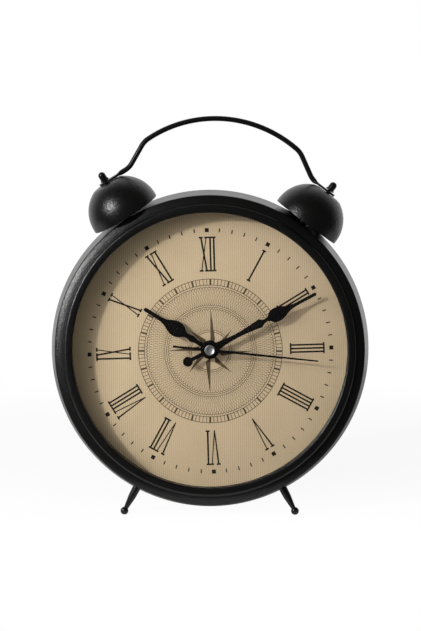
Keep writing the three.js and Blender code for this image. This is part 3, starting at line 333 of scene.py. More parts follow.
neck_angle = math.degrees(math.acos(LEG_NECK / BALL_RADIUS))
for side, angle in (("left", 180 + LEG_ANGLE), ("right", 180 - LEG_ANGLE)):
    leg = turned([
        (0, LEG_THREAD[1]),
        LEG_THREAD,
        (LEG_THREAD[0], LEG_ROOT[1]),
        (LEG_ROOT[0] - ROOT_EDGE, LEG_ROOT[1]),
        (LEG_ROOT[0], LEG_ROOT[1] + ROOT_EDGE),
        LEG_MIDDLE,
        *arc(0, BALL_CENTRE, BALL_RADIUS, -neck_angle, 90, 14)[:-1],
        (0, BALL_CENTRE + BALL_RADIUS),
    ], on_station(angle, LEG_DEPTH), FITTING_SIDES)
    for vert in leg.verts:
        vert.co.z = max(vert.co.z, 0.0)
    piece(f"{side}_leg", leg, gloss_paint, "case", "black_gloss_paint", f"leg_{side}")
    dress(zinc_steel, f"leg_nut_{side}")

# Bells. Two pressed aluminium shells with flattened crowns sit over black tubes on the drum's shoulders and
# lean to the front. Each is held by a stud, with a hexagon nut inside the drum and a domed nut on top.
TOP_TURN = 2.5
BELL_ANGLE = 34.4
BELL_LEAN = {"left": 8.0, "right": 3.0}
BELL_DEPTH = 24.1
BELL_RIM = 116.65
BELL_CENTRE = 118.85
BELL_RADIUS = 26.3
BELL_EDGE = 0.25
BELL_HOLE = 1.8
CROWN_FLAT = 10.0
CROWN_ROUND = 1.5
BELL_SIDES = 96
SEAT_GAP = 0.3
TAB_THICKNESS = 1.8
NUT_COLLAR = (3.3, 1.2)
NUT_RADIUS = 2.7
NUT_HEIGHT = 7.0
NUT_BORE = (1.7, 4.8)
NUT_EDGE = 0.25

crown_angle = math.degrees(math.acos((CROWN_FLAT + CROWN_ROUND) / BELL_RADIUS))
crown_height = BELL_CENTRE + math.sqrt(BELL_RADIUS ** 2 - CROWN_FLAT ** 2)
inner_radius = BELL_RADIUS - SHEET
bell_profile = [
    (inner_radius + BELL_EDGE, BELL_RIM),
    (BELL_RADIUS - BELL_EDGE, BELL_RIM),
    (BELL_RADIUS, BELL_RIM + BELL_EDGE),
    *arc(0, BELL_CENTRE, BELL_RADIUS, 0, crown_angle, 20),
    (CROWN_FLAT - CROWN_ROUND, crown_height),
    (BELL_HOLE, crown_height),
    (BELL_HOLE, crown_height - SHEET),
    (CROWN_FLAT - CROWN_ROUND, crown_height - SHEET),
    *arc(0, BELL_CENTRE, inner_radius, crown_angle, 0, 16),
    (inner_radius, BELL_RIM + BELL_EDGE),
]
tab_bottom = crown_height + SEAT_GAP
nut_bottom = tab_bottom + TAB_THICKNESS + SEAT_GAP
dome_at = nut_bottom + NUT_HEIGHT - NUT_RADIUS
nut_profile = [
    (0, nut_bottom + NUT_BORE[1]),
    (NUT_BORE[0], nut_bottom + NUT_BORE[1]),
    (NUT_BORE[0], nut_bottom),
    (NUT_COLLAR[0] - NUT_EDGE, nut_bottom),
    (NUT_COLLAR[0], nut_bottom + NUT_EDGE),
    (NUT_COLLAR[0], nut_bottom + NUT_COLLAR[1] - NUT_EDGE),
    (NUT_COLLAR[0] - NUT_EDGE, nut_bottom + NUT_COLLAR[1]),
    (NUT_RADIUS, nut_bottom + NUT_COLLAR[1]),
    *arc(0, dome_at, NUT_RADIUS, 0, 90, 10)[:-1],
    (0, dome_at + NUT_RADIUS),
]
stations = {}
for side, angle in (("left", TOP_TURN - BELL_ANGLE), ("right", TOP_TURN + BELL_ANGLE)):
    stations[side] = on_station(angle, BELL_DEPTH, BELL_LEAN[side], BELL_RIM)
    bell = turned(bell_profile, stations[side], BELL_SIDES)
    piece(f"{side}_bell", bell, powder_coat, "case", "black_coated_aluminium", f"bell_{side}")
    nut = turned(nut_profile, stations[side], FITTING_SIDES)
    piece(f"{side}_domed_nut", nut, gloss_paint, "case", "black_gloss_paint", f"bell_nut_{side}")
    dress(gloss_paint, f"bell_post_{side}")
    dress(zinc_steel, f"bell_stud_{side}", f"stud_nut_{side}")

# Handle. One length of round steel wire is bent over the bells, and its ends are hammered flat and
# pierced, to lie on the crowns under the domed nuts. It is painted with the same gloss enamel.
WIRE_RADIUS = 1.9
EYELET_RADIUS = 5.2
EYELET_HOLE = 1.8
TAB_NECK = 13.6
FLAT_END = 9.5
ROUND_START = 13.5
LOWER_BEND = {"left": 20.3, "right": 14.8}
BEND_RUN = 9.8
BEND_RISE = 19.4
BEND_LENGTH = 3.6
HANDLE_SWELL = 20.6
EYELET_TIP = 0.1
WIRE_SIDES = 24
HOLE_SIDES = 32
EYELET_STEPS = 12
TAB_STEPS = 12
BEND_STEPS = 10
RISE_STEPS = 6
ARC_STEPS = 24


def bezier(points, steps):
    """Points on the curve that some control points give, without the last one."""
    curve = []
    for step in range(steps):
        left = [Vector(point) for point in points]
        while len(left) > 1:
            left = [a.lerp(b, step / steps) for a, b in zip(left, left[1:])]
        curve.append(left[0])
    return curve


def smooth_step(start, end, value):
    """0 before the start and 1 after the end, with an even passage between them."""
    share = min(max((value - start) / (end - start), 0.0), 1.0)
    return share * share * (3 - 2 * share)


# The wire's route in points across, behind and up, as it lies before the bells' and handle's common turn.
tabs = []
for side, facing in (("left", 1), ("right", -1)):
    turn, lean = math.radians(-facing * BELL_ANGLE), math.radians(BELL_LEAN[side])
    forth, up = math.sin(lean), math.cos(lean)
    stud = Vector((up * math.sin(turn), -forth, up * math.cos(turn)))
    width = Vector((forth * math.sin(turn), up, forth * math.cos(turn)))
    inward = facing * Vector((math.cos(turn), 0, -math.sin(turn)))
    seat = Vector((BELL_RIM * math.sin(turn), BELL_DEPTH, BELL_RIM * math.cos(turn)))
    eyelet = seat + (tab_bottom + TAB_THICKNESS / 2 - BELL_RIM) * stud
    tabs.append((eyelet, inward, width, LOWER_BEND[side]))
low_left, low_right = (eyelet + reach * inward for eyelet, inward, width, reach in tabs)
middle, span = (low_left + low_right) / 2, low_right - low_left
half_span = span.x / 2 - BEND_RUN
arc_radius = (half_span ** 2 + HANDLE_SWELL ** 2) / (2 * HANDLE_SWELL)
arc_rise = BEND_RISE + HANDLE_SWELL - arc_radius


def on_arc(turn):
    """A point of the handle's upper arc, in the upright plane through both lower bends."""
    along = arc_radius * math.sin(turn) / span.x
    return middle + along * span + Vector((0, 0, arc_rise + arc_radius * math.cos(turn)))


bend_turn = math.asin(half_span / arc_radius)
arc_turn = bend_turn - BEND_LENGTH / arc_radius
halves = []
for way, (eyelet, inward, width, reach) in zip((-1, 1), tabs):
    bend, upper = eyelet + reach * inward, on_arc(way * bend_turn)
    rise = (upper - bend).normalized() * BEND_LENGTH
    turns = [math.pi / 2 * step / EYELET_STEPS for step in range(EYELET_STEPS + 1)]
    half = [eyelet - inward * EYELET_RADIUS * math.cos(turn) for turn in turns]
    half += bezier((eyelet + inward, bend - BEND_LENGTH * inward), TAB_STEPS)
    half += bezier((bend - BEND_LENGTH * inward, bend, bend + rise), BEND_STEPS)
    half += bezier((bend + rise, upper - rise), RISE_STEPS)
    half += bezier((upper - rise, upper, on_arc(way * arc_turn)), BEND_STEPS)
    halves.append(half)
top = [on_arc(arc_turn * step / ARC_STEPS) for step in range(-ARC_STEPS, ARC_STEPS + 1)]
route = halves[0] + top + halves[1][::-1]

handle = bmesh.new()
tilt = math.radians(TOP_TURN)
rings = []
for i, point in enumerate(route):
    ahead = (route[min(i + 1, len(route) - 1)] - route[max(i - 1, 0)]).normalized()
    share = min(max((point.x - low_left.x) / span.x, 0.0), 1.0)
    eyelet, inward, width, reach = tabs[0 if share < 0.5 else 1]
    if share in (0, 1):
        reach = (point - eyelet).dot(inward)
    roundness = smooth_step(FLAT_END, ROUND_START, reach)
    thick = TAB_THICKNESS / 2 + (WIRE_RADIUS - TAB_THICKNESS / 2) * roundness
    if reach < 0:
        wide = math.sqrt(max(EYELET_RADIUS ** 2 - reach ** 2, EYELET_TIP ** 2))
    else:
        wide = EYELET_RADIUS + (WIRE_RADIUS - EYELET_RADIUS) * min(reach / TAB_NECK, 1.0)
    power = (1 + roundness) / 2  # 1 for a round section, less for a squarer one
    over_way = ahead.cross(tabs[0][2].lerp(tabs[1][2], share)).normalized()
    side_way = over_way.cross(ahead)
    ring = []
    for step in range(WIRE_SIDES):
        turn = math.tau * step / WIRE_SIDES
        sine, cosine = math.sin(turn), math.cos(turn)
        over = math.copysign(abs(sine) ** power, sine) * thick
        aside = math.copysign(abs(cosine) ** power, cosine) * wide
        spot = point + over * over_way + aside * side_way
        x = spot.x * math.cos(tilt) + spot.z * math.sin(tilt)
        height = spot.z * math.cos(tilt) - spot.x * math.sin(tilt)
        ring.append(handle.verts.new(place(x, spot.y, height)))
    rings.append(ring)
for near, far in zip(rings, rings[1:]):
    join(handle, near, far)
handle.faces.new(rings[0])
handle.faces.new(rings[-1])


def cut(made, tool):
    """Cuts a tool's shape out of a solid."""
    pair = []
    for shape in (made, tool):
        bmesh.ops.recalc_face_normals(shape, faces=shape.faces[:])
        mesh = bpy.data.meshes.new("cutting")
        shape.to_mesh(mesh)
        shape.free()
        pair.append(bpy.data.objects.new("cutting", mesh))
        bpy.context.collection.objects.link(pair[-1])
    pair[0].modifiers.new("cut", "BOOLEAN").object = pair[1]
    mesh = pair[0].evaluated_get(bpy.context.evaluated_depsgraph_get()).to_mesh()
    left = bmesh.new()
    left.from_mesh(mesh)
    for used in pair:
        bpy.data.meshes.remove(used.data)
    return left


for station in stations.values():
    drill = turned([
        (0, crown_height),
        (EYELET_HOLE, crown_height),
        (EYELET_HOLE, nut_bottom),
        (0, nut_bottom),
    ], station, HOLE_SIDES)
    handle = cut(handle, drill)
piece("wire_handle", handle, gloss_paint, "case", "black_gloss_paint", "handle")

# Dial. A fibreboard disc faced with printed paper, stopped against four tabs in the drum and clamped
# round the movement's post by a washer and a hexagon nut.
DIAL_FACE = 17.5

# Uncoated linen-finish paper: matt tan, with upright threads pressed into it about 0.7 mm apart, drawn
# at twice that so that they show, and a faint yellowing in patches.
THREAD_SPACING = 1.45
PAPER_PATCH = 35.0
WAVE_RADIANS = 20  # that a wave texture goes through in a metre, at a scale of 1
linen_paper, tree, where = new_finish("linen_finish_dial_paper")
threads = add(tree, "ShaderNodeTexWave", {
    "Vector": where, "Scale": math.tau / (WAVE_RADIANS * MM * THREAD_SPACING), "Distortion": 1.2,
    "Detail": 2.0, "Detail Scale": 0.6}, bands_direction="X").outputs["Fac"]
patch = add_noise(tree, where, PAPER_PATCH, 5.0)
ground = add_blend(tree, patch, "#b09a7d", "#c6b194")
colour = add_blend(tree, threads, ground, "#a89273")
add_coat(tree, colour, 0.85, {"IOR": 1.45, "Normal": add_bump(tree, threads, 0.25, 0.1)})
dress(linen_paper, "dial")

# Print. Roman numerals with their feet to the centre, square hour marks and minute strokes are screen
# printed in dark brown ink, a little askew on the board as such dials often are.
PRINT_TURN = -1.75
PRINT_MIDDLE = (0.35, -1.0)
INK_SINK = 0.02
SCREEN_INK = 0.05
STROKE_LIFT = 0.004
NUMERAL_FOOT = 58.1
NUMERAL_TALL = 25.5
STEM = 1.25
HAIRLINE = 0.75
SERIF = 1.2
SERIF_WIDTH = 2.9
LETTER_WIDTHS = {"I": 2.6, "V": 7.5, "X": 7.0}
LETTER_INSETS = {"V": 1.3, "X": 1.5}
NUMERALS = ("XII", "I", "II", "III", "IIII", "V", "VI", "VII", "VIII", "IX", "X", "XI")
MARK_CIRCLE = 88.4
MARK_SIZE = 2.9
STROKE_LONG = 2.9
STROKE_WIDE = 0.8


def add_prism(made, outline, thickness):
    """Adds a flat patch of ink, a closed prism a little sunk into the paper, from points across and up."""
    points = [(PRINT_MIDDLE[0] + x, PRINT_MIDDLE[1] + z) for x, z in outline]
    rear = [made.verts.new(place(x, DIAL_FACE + INK_SINK, z)) for x, z in points]
    front = [made.verts.new(place(x, DIAL_FACE - thickness, z)) for x, z in points]
    made.faces.new(rear)
    made.faces.new(front)
    join(made, rear, front)


def print_at(angle, offset, radius):
    """The point of the print at an angle in degrees, set off sideways in the clockwise direction."""
    turn = math.radians(angle + PRINT_TURN)
    x = radius * math.sin(turn) + offset * math.cos(turn)
    return x, radius * math.cos(turn) - offset * math.sin(turn)


def add_stroke(made, angle, foot, head, foot_width, head_width, thickness):
    """Adds a straight stroke between two (offset, radius) ends, which are cut square to the numeral."""
    outline = [
        print_at(angle, foot[0] - foot_width / 2, foot[1]),
        print_at(angle, foot[0] + foot_width / 2, foot[1]),
        print_at(angle, head[0] + head_width / 2, head[1]),
        print_at(angle, head[0] - head_width / 2, head[1]),
    ]
    add_prism(made, outline, thickness)


def letter_strokes(letter, left, foot, head):
    """A letter's strokes as (foot, head, foot width, head width), with their serifs."""
    width = LETTER_WIDTHS[letter]
    middle = left + width / 2
    inset = LETTER_INSETS.get(letter, width / 2)
    near, far = left + inset, left + width - inset
    if letter == "I":
        strokes = [((middle, foot), (middle, head), STEM, STEM)]
        serifs = [(middle, foot), (middle, head)]
    elif letter == "V":
        strokes = [
            ((middle, foot), (near, head), HAIRLINE, STEM),
            ((middle, foot), (far, head), HAIRLINE, HAIRLINE),
        ]
        serifs = [(near, head), (far, head)]
    else:
        strokes = [
            ((far, foot), (near, head), STEM, STEM),
            ((near, foot), (far, head), HAIRLINE, HAIRLINE),
        ]
        serifs = [(x, end) for x in (near, far) for end in (foot, head)]
    for x, end in serifs:
        inner = SERIF if end == foot else -SERIF
        strokes.append(((x, end), (x, end + inner), SERIF_WIDTH, SERIF_WIDTH))
    return strokes


# Screen ink: dark brown and matt, thinner in places where the linen's threads held it off, every
# millimetre or so.
INK_BREAK = 1.0
MATT_INK = {"IOR": 1.5, "Specular IOR Level": 0.15}
brown_ink = mottled("dark_brown_screen_ink", INK_BREAK, 3.0, "#0a0603", "#1c130b", 0.7, MATT_INK)

numerals = bmesh.new()
for hour, letters in enumerate(NUMERALS):
    left = -sum(LETTER_WIDTHS[letter] for letter in letters) / 2
    for letter in letters:
        shapes = letter_strokes(letter, left, NUMERAL_FOOT, NUMERAL_FOOT + NUMERAL_TALL)
        for layer, stroke in enumerate(shapes):
            add_stroke(numerals, 30 * hour, *stroke, SCREEN_INK + STROKE_LIFT * layer)
        left += LETTER_WIDTHS[letter]
piece("dial_numerals", numerals, brown_ink, "case", "printed_paper")
minute_marks = bmesh.new()
for minute in range(60):
    if minute % 5:
        long, wide = STROKE_LONG, STROKE_WIDE
    else:
        long, wide = MARK_SIZE, MARK_SIZE
    ends = (0, MARK_CIRCLE - long / 2), (0, MARK_CIRCLE + long / 2)
    add_stroke(minute_marks, 6 * minute, *ends, wide, wide, SCREEN_INK)
piece("dial_minute_marks", minute_marks, brown_ink, "case", "printed_paper")

# Ornament. The dial's middle carries an engine-turned rosette of waving lines inside a ring of strokes,
# with an eight-pointed star round the hands, printed in sepia.
ROSETTE_BANDS = ((15.0, 31.0, 16), (33.0, 47.0, 24))
ROSETTE_LINES = 6
ROSETTE_STEPS = 288
ROSETTE_LINE = 0.55
ROSETTE_INK = 0.03
LINE_LIFT = 0.001
RING_RADII = (14.0, 32.0, 48.2, 52.6)
RING_LINE = 0.45
RING_INK = 0.04
RING_STROKES = 120
BOLD_STROKE = 3
STROKE_INK = 0.035
STAR_POINTS = 8
STAR_LONG = 31.0
STAR_SHORT = 22.0
STAR_WAIST = 9.0
STAR_INK = 0.045


def add_ribbon(made, radius_at, width, steps, thickness):
    """Adds a closed line round the dial, as a ring of short prisms joined into one solid."""
    rings = []
    for step in range(steps):
        turn = math.tau * step / steps
        radius = radius_at(turn)
        ring = []
        for depth in (DIAL_FACE + INK_SINK, DIAL_FACE - thickness):
            for side in (-width / 2, width / 2):
                x = PRINT_MIDDLE[0] + (radius + side) * math.sin(turn)
                z = PRINT_MIDDLE[1] + (radius + side) * math.cos(turn)
                ring.append(made.verts.new(place(x, depth, z)))
        rings.append((ring[0], ring[1], ring[3], ring[2]))
    for i in range(steps):
        join(made, rings[i - 1], rings[i])


# Sepia ink: a thinner brown that lets the paper through, uneven over a few millimetres.
SEPIA_CLOUD = 5.0
sepia_ink = mottled("sepia_screen_ink", SEPIA_CLOUD, 4.0, "#32271a", "#5c4b36", 0.75, MATT_INK)

rosette = bmesh.new()
for inner, outer, waves in ROSETTE_BANDS:
    middle, swing = (inner + outer) / 2, (outer - inner) / 2
    for line in range(ROSETTE_LINES):
        shift = math.tau * line / ROSETTE_LINES

        def waving(turn):
            return middle + swing * math.sin(waves * turn + shift)

        add_ribbon(rosette, waving, ROSETTE_LINE, ROSETTE_STEPS, ROSETTE_INK + LINE_LIFT * line)
for radius in RING_RADII:
    add_ribbon(rosette, lambda turn: radius, RING_LINE, ROSETTE_STEPS, RING_INK)
for stroke in range(RING_STROKES):
    wide = RING_LINE if stroke % 5 else BOLD_STROKE * RING_LINE
    ends = (0, RING_RADII[-2]), (0, RING_RADII[-1])
    add_stroke(rosette, 360 * stroke / RING_STROKES - PRINT_TURN, *ends, wide, wide, STROKE_INK)
for point in range(STAR_POINTS):
    angle = 360 * point / STAR_POINTS - PRINT_TURN
    tip = print_at(angle, 0, STAR_SHORT if point % 2 else STAR_LONG)
    waist = print_at(angle + 180 / STAR_POINTS, 0, STAR_WAIST)
    add_prism(rosette, [print_at(angle, 0, STAR_WAIST / 2), waist, tip], STAR_INK)
piece("dial_rosette", rosette, sepia_ink, "case", "printed_paper")

# Movement. A small quartz movement hangs on the dial by its threaded post, in a moulded housing with a
# clipped-on cover. Inside are the stepping motor, the train and the circuit board.

# Moulded ABS: near black with the fine spark-eroded grain of the mould, 0.2 mm, drawn coarser to show.
MOULD_GRAIN = 0.6
black_plastic = mottled(
    "moulded_black_abs", MOULD_GRAIN, 2.0, "#181818", "#242423", (0.42, 0.6), {"IOR": 1.53},
    relief=(0.3, 0.05))
dress(black_plastic, "movement_housing", "movement_cover", "setting_knob")

# Bar brass: yellow, with the fine marks of turning and stamping, drawn at 0.5 mm so that they show.
BRASS_MARK = 0.5
brass = mottled(
    "turned_brass", BRASS_MARK, 3.0, "#a9853f", "#cfae68", (0.22, 0.42), {"Metallic": 1.0})
dress(brass, "centre_wheel", "contact_positive", "contact_negative")

# Blackened brass: chemically darkened, brown-black and dull, in blotches of a couple of millimetres.
BLACKENING = 2.0
black_brass = mottled(
    "blackened_brass", BLACKENING, 3.0, "#120f0c", "#1f1913", (0.5, 0.65), {"Metallic": 1.0})
dress(black_brass, "dial_washer", "dial_nut")

# Moulded acetal: a milky white, slightly waxy plastic, with faint flow marks a few millimetres long.
ACETAL_FLOW = 3.0
acetal = mottled(
    "moulded_white_acetal", ACETAL_FLOW, 3.0, "#dcd9cf", "#ece9e1", (0.32, 0.45), {"IOR": 1.48})
dress(acetal, "hour_wheel", "motion_wheel", "third_wheel", "seconds_wheel", "intermediate_wheel")

# Enamelled copper winding: reddish and glossy, in turns of fine wire drawn at 0.35 mm so that they show, with
# painted shade darkening the grooves between the turns and a painted highlight lightening their crests.
WIRE_SPACING = 0.35
copper, tree, where = new_finish("enamelled_copper_winding")
turns = add(tree, "ShaderNodeTexWave", {
    "Vector": where, "Scale": math.tau / (WAVE_RADIANS * MM * WIRE_SPACING), "Distortion": 0.4},
    bands_direction="X").outputs["Fac"]
# painted shade in the grooves and painted highlight on the crests of the turns, following the relief
colour = add_blend(tree, turns, "#7d4122", "#b96f3e")
add_coat(tree, colour, 0.3, {"Metallic": 0.8, "Normal": add_bump(tree, turns, 0.6, 0.1)})
dress(copper, "coil")

# Glass-fibre laminate: green lacquer over a weave of about 0.8 mm that shows faintly through it.
WEAVE = 0.8
laminate, tree, where = new_finish("green_lacquered_laminate")
weave = add(tree, "ShaderNodeTexChecker", {
    "Vector": where, "Scale": 1 / (MM * WEAVE), "Color1": "#27502f", "Color2": "#2f5e39"})
add_coat(tree, weave.outputs["Color"], 0.35, {"IOR": 1.55})
dress(laminate, "circuit_board")

# Sintered ferrite: a dark grey magnet with the fine speckle of its pressed grains, drawn at 0.4 mm.
FERRITE_GRAIN = 0.4
ferrite = mottled(
    "sintered_ferrite", FERRITE_GRAIN, 2.0, "#3a3a3c", "#5b5b5d", 0.5, {"Metallic": 0.6})
dress(ferrite, "rotor")
dress(zinc_steel, "stator", "quartz_crystal")

# Hands. Stamped from thin steel sheet and lacquered satin black: spade-shaped hour and minute hands
# pressed on their pipes, and a straight second hand with a chromed button over its boss.
HAND_THICKNESS = 0.4
HAND_CURVE = 0.4
HAND_STEPS = 14
HOUR_HAND = {
    "angle": -57.9, "front": 11.9, "bore": 2.6, "length": 56.6, "boss": 6.6, "root": 3.3,
    "edge": ((1.6, 0.18), (2.6, 0.277), (1.7, 0.341), (5.6, 0.509), (1.45, 0.795)),
}
MINUTE_HAND = {
    "angle": 61.9, "front": 9.9, "bore": 1.6, "length": 87.8, "boss": 5.6, "root": 4.6,
    "edge": ((1.65, 0.25), (3.3, 0.478), (1.25, 0.531), (5.2, 0.622), (1.2, 0.829)),
}
TAIL_HALF = 1.4
TAIL_DISC = 3.6
TAIL_DISC_AT = 18.1
SECOND_ANGLE = 95.7
SECOND_FRONT = 7.9
SECOND_BORE = 0.75
SECOND_BOSS = 2.6
SECOND_LONG = 79.3
SECOND_TAIL = 27.0
SECOND_HALF = (0.8, 0.5)
BUTTON_RADIUS = 3.7
BUTTON_FRONT = 6.8
BUTTON_HEIGHT = 1.0
BUTTON_EDGE = 0.2
BUTTON_ROUND = 0.45
BUTTON_FLOOR = (2.4, 0.5)
BUTTON_SIDES = 48

# Black lacquer: an even, thin coat on smooth sheet, with a faint gloss and the slight orange peel of about
# 1.5 mm that spraying leaves.
LACQUER_PEEL = 1.5
hand_lacquer = mottled(
    "black_lacquer_on_steel", LACQUER_PEEL, 2.0, "#060505", "#0c0a0a", (0.24, 0.34),
    {"IOR": 1.5, "Specular IOR Level": 0.12})


def round_points(radius, start, end, steps, centre=0.0):
    """Points on a circle round a centre on the hand's middle line, by angles clockwise from the tip."""
    turns = [math.radians(start + (end - start) * step / steps) for step in range(steps + 1)]
    return [(radius * math.sin(turn), centre + radius * math.cos(turn)) for turn in turns]


def blade_edge(hand):
    """The right-hand edge of a spade hand's blade, from where it leaves the boss to the tip."""
    length = hand["length"]
    stations = [(hand["root"], 0.0)] + [(half, share * length) for half, share in hand["edge"]]
    edge = []
    for i, (start, end) in enumerate(zip(stations, stations[1:])):
        turn_at = start[1] + HAND_CURVE * (end[1] - start[1])
        if i > 2:
            controls = (start, (start[0], turn_at), (end[0], turn_at), end)
        elif i == 2:
            controls = (start, (end[0], turn_at), end)
        else:
            controls = (start, (stations[1][0], turn_at), end)
        edge += bezier(controls, HAND_STEPS)
    bar = stations[-1][0]
    edge = [(point.x, point.y) for point in edge if point.length > hand["boss"]]
    return edge + [stations[-1]] + round_points(bar, 90, 0, 6, length - bar)


def stamped(outline, bore, angle, front):
    """A flat hand of a closed outline with a round bore, turned clockwise to its angle."""
    sine, cosine = math.sin(math.radians(angle)), math.cos(math.radians(angle))
    made = bmesh.new()
    for loop in (outline, round_points(bore, 0, 360, HOLE_SIDES)[:-1]):
        rim = [made.verts.new(place(x * cosine + y * sine, front, y * cosine - x * sine)) for x, y in loop]
        for i in range(len(rim)):
            made.edges.new((rim[i - 1], rim[i]))
    filled = bmesh.ops.triangle_fill(made, use_beauty=True, use_dissolve=False, edges=made.edges[:])
    faces = [part for part in filled["geom"] if isinstance(part, bmesh.types.BMFace)]
    grown = bmesh.ops.extrude_face_region(made, geom=faces)
    back = [part for part in grown["geom"] if isinstance(part, bmesh.types.BMVert)]
    bmesh.ops.translate(made, verts=back, vec=MM * HAND_THICKNESS * rearward)
    return made


def spade_outline(hand, tail):
    """A spade hand's whole outline: the blade's two edges and what closes them round the boss."""
    edge = blade_edge(hand)
    start = math.degrees(math.atan2(edge[0][0], edge[0][1]))
    left = [(-x, y) for x, y in reversed(edge[:-1])]
    if not tail:
        return edge + left + round_points(hand["boss"], 360 - start, start, 40)[1:-1]
    narrow = math.degrees(math.asin(TAIL_HALF / hand["boss"]))
    meets = math.degrees(math.asin(TAIL_HALF / TAIL_DISC))
    return (
        edge + left
        + round_points(hand["boss"], 360 - start, 180 + narrow, 18)[1:]
        + round_points(TAIL_DISC, 360 - meets, meets, 36, -TAIL_DISC_AT)
        + round_points(hand["boss"], 180 - narrow, start, 18)[:-1]
    )


for name, hand, body, tail in (("hour", HOUR_HAND, "hours", False), ("minute", MINUTE_HAND, "minutes", True)):
    blade = stamped(spade_outline(hand, tail), hand["bore"], hand["angle"], hand["front"])
    piece(f"{name}_spade_hand", blade, hand_lacquer, body, "black_hand_paint", f"{name}_hand")

boss_top = math.degrees(math.asin(SECOND_HALF[1] * 2 / SECOND_BOSS))
needle = (
    [(SECOND_HALF[1], SECOND_LONG), (-SECOND_HALF[1], SECOND_LONG)]
    + round_points(SECOND_BOSS, 360 - boss_top, 180 + boss_top, 16)
    + [(-SECOND_HALF[0], -SECOND_TAIL), (SECOND_HALF[0], -SECOND_TAIL)]
    + round_points(SECOND_BOSS, 180 - boss_top, boss_top, 16)
)
needle = stamped(needle, SECOND_BORE, SECOND_ANGLE, SECOND_FRONT)
piece("second_needle", needle, hand_lacquer, "seconds", "black_hand_paint", "second_hand")

# Chrome plate: bright but satin, with the faint cloudiness of barrel polishing over about a millimetre.
POLISH_CLOUD = 1.0
chrome = mottled(
    "satin_chrome_plate", POLISH_CLOUD, 2.0, "#c4c6c8", "#dcdddd", (0.28, 0.38), {"Metallic": 1.0})

button = turned([
    (0, BUTTON_FRONT + BUTTON_HEIGHT),
    (BUTTON_RADIUS - BUTTON_EDGE, BUTTON_FRONT + BUTTON_HEIGHT),
    (BUTTON_RADIUS, BUTTON_FRONT + BUTTON_HEIGHT - BUTTON_EDGE),
    *arc(BUTTON_RADIUS - BUTTON_ROUND, BUTTON_FRONT + BUTTON_ROUND, BUTTON_ROUND, 0, -90, 6),
    (BUTTON_FLOOR[0], BUTTON_FRONT + BUTTON_FLOOR[1]),
    (0, BUTTON_FRONT + BUTTON_FLOOR[1]),
], on_case, BUTTON_SIDES)
piece("chrome_button", button, chrome, "seconds", "polished_chrome", "second_hand_cap")

# Spacer ring. A moulded black ring with a flange keeps the glass and the dial apart, and shows as the
# dark wall between them. It is dulled, so that it doesn't mirror the dial.
SPACER_INNER = 100.4
SPACER_OUTER = 102.0
SPACER_FLANGE = 106.7
SPACER_FRONT = 6.8
SPACER_REAR = 17.2
FLANGE_THICKNESS = 1.4

# Matt black polystyrene: a dull, deep black from a coarsely blasted mould, with grains of half a millimetre.
BLAST_GRAIN = 0.5
matt_plastic = mottled(
    "matt_black_polystyrene", BLAST_GRAIN, 2.0, "#090909", "#121111", (0.8, 0.95),
    {"IOR": 1.55, "Specular IOR Level": 0.1})

spacer = turned([
    (SPACER_INNER, SPACER_FRONT),
    (SPACER_OUTER, SPACER_FRONT),
    (SPACER_OUTER, SPACER_REAR - FLANGE_THICKNESS),
    (SPACER_FLANGE, SPACER_REAR - FLANGE_THICKNESS),
    (SPACER_FLANGE, SPACER_REAR),
    (SPACER_INNER, SPACER_REAR),
], on_case, CASE_SIDES)
piece("dial_spacer", spacer, matt_plastic, "case", "black_plastic", "spacer_ring")

# Glass. A flat pane of 2 mm float glass lies in the bezel, clear enough to show only where it reflects.

# Float glass: smooth, with a faint unevenness of its gloss from handling, over some centimetres.
HANDLING = 30.0
float_glass, tree, where = new_finish("clear_float_glass")
smear = add_noise(tree, where, HANDLING, 3.0)
gloss = add_range(tree, smear, 0.0, 0.04)
pane = add(tree, "ShaderNodeBsdfPrincipled", {
    "Base Color": "#fafcfb", "Roughness": gloss, "IOR": 1.5, "Transmission Weight": 1.0})
through = add(tree, "ShaderNodeBsdfTransparent")
path = add(tree, "ShaderNodeLightPath")
surface = add(tree, "ShaderNodeMixShader", {
    0: path.outputs["Is Shadow Ray"], 1: pane.outputs["BSDF"], 2: through.outputs["BSDF"]})
add(tree, "ShaderNodeOutputMaterial", {"Surface": surface.outputs["Shader"]})
dress(float_glass, "glass")

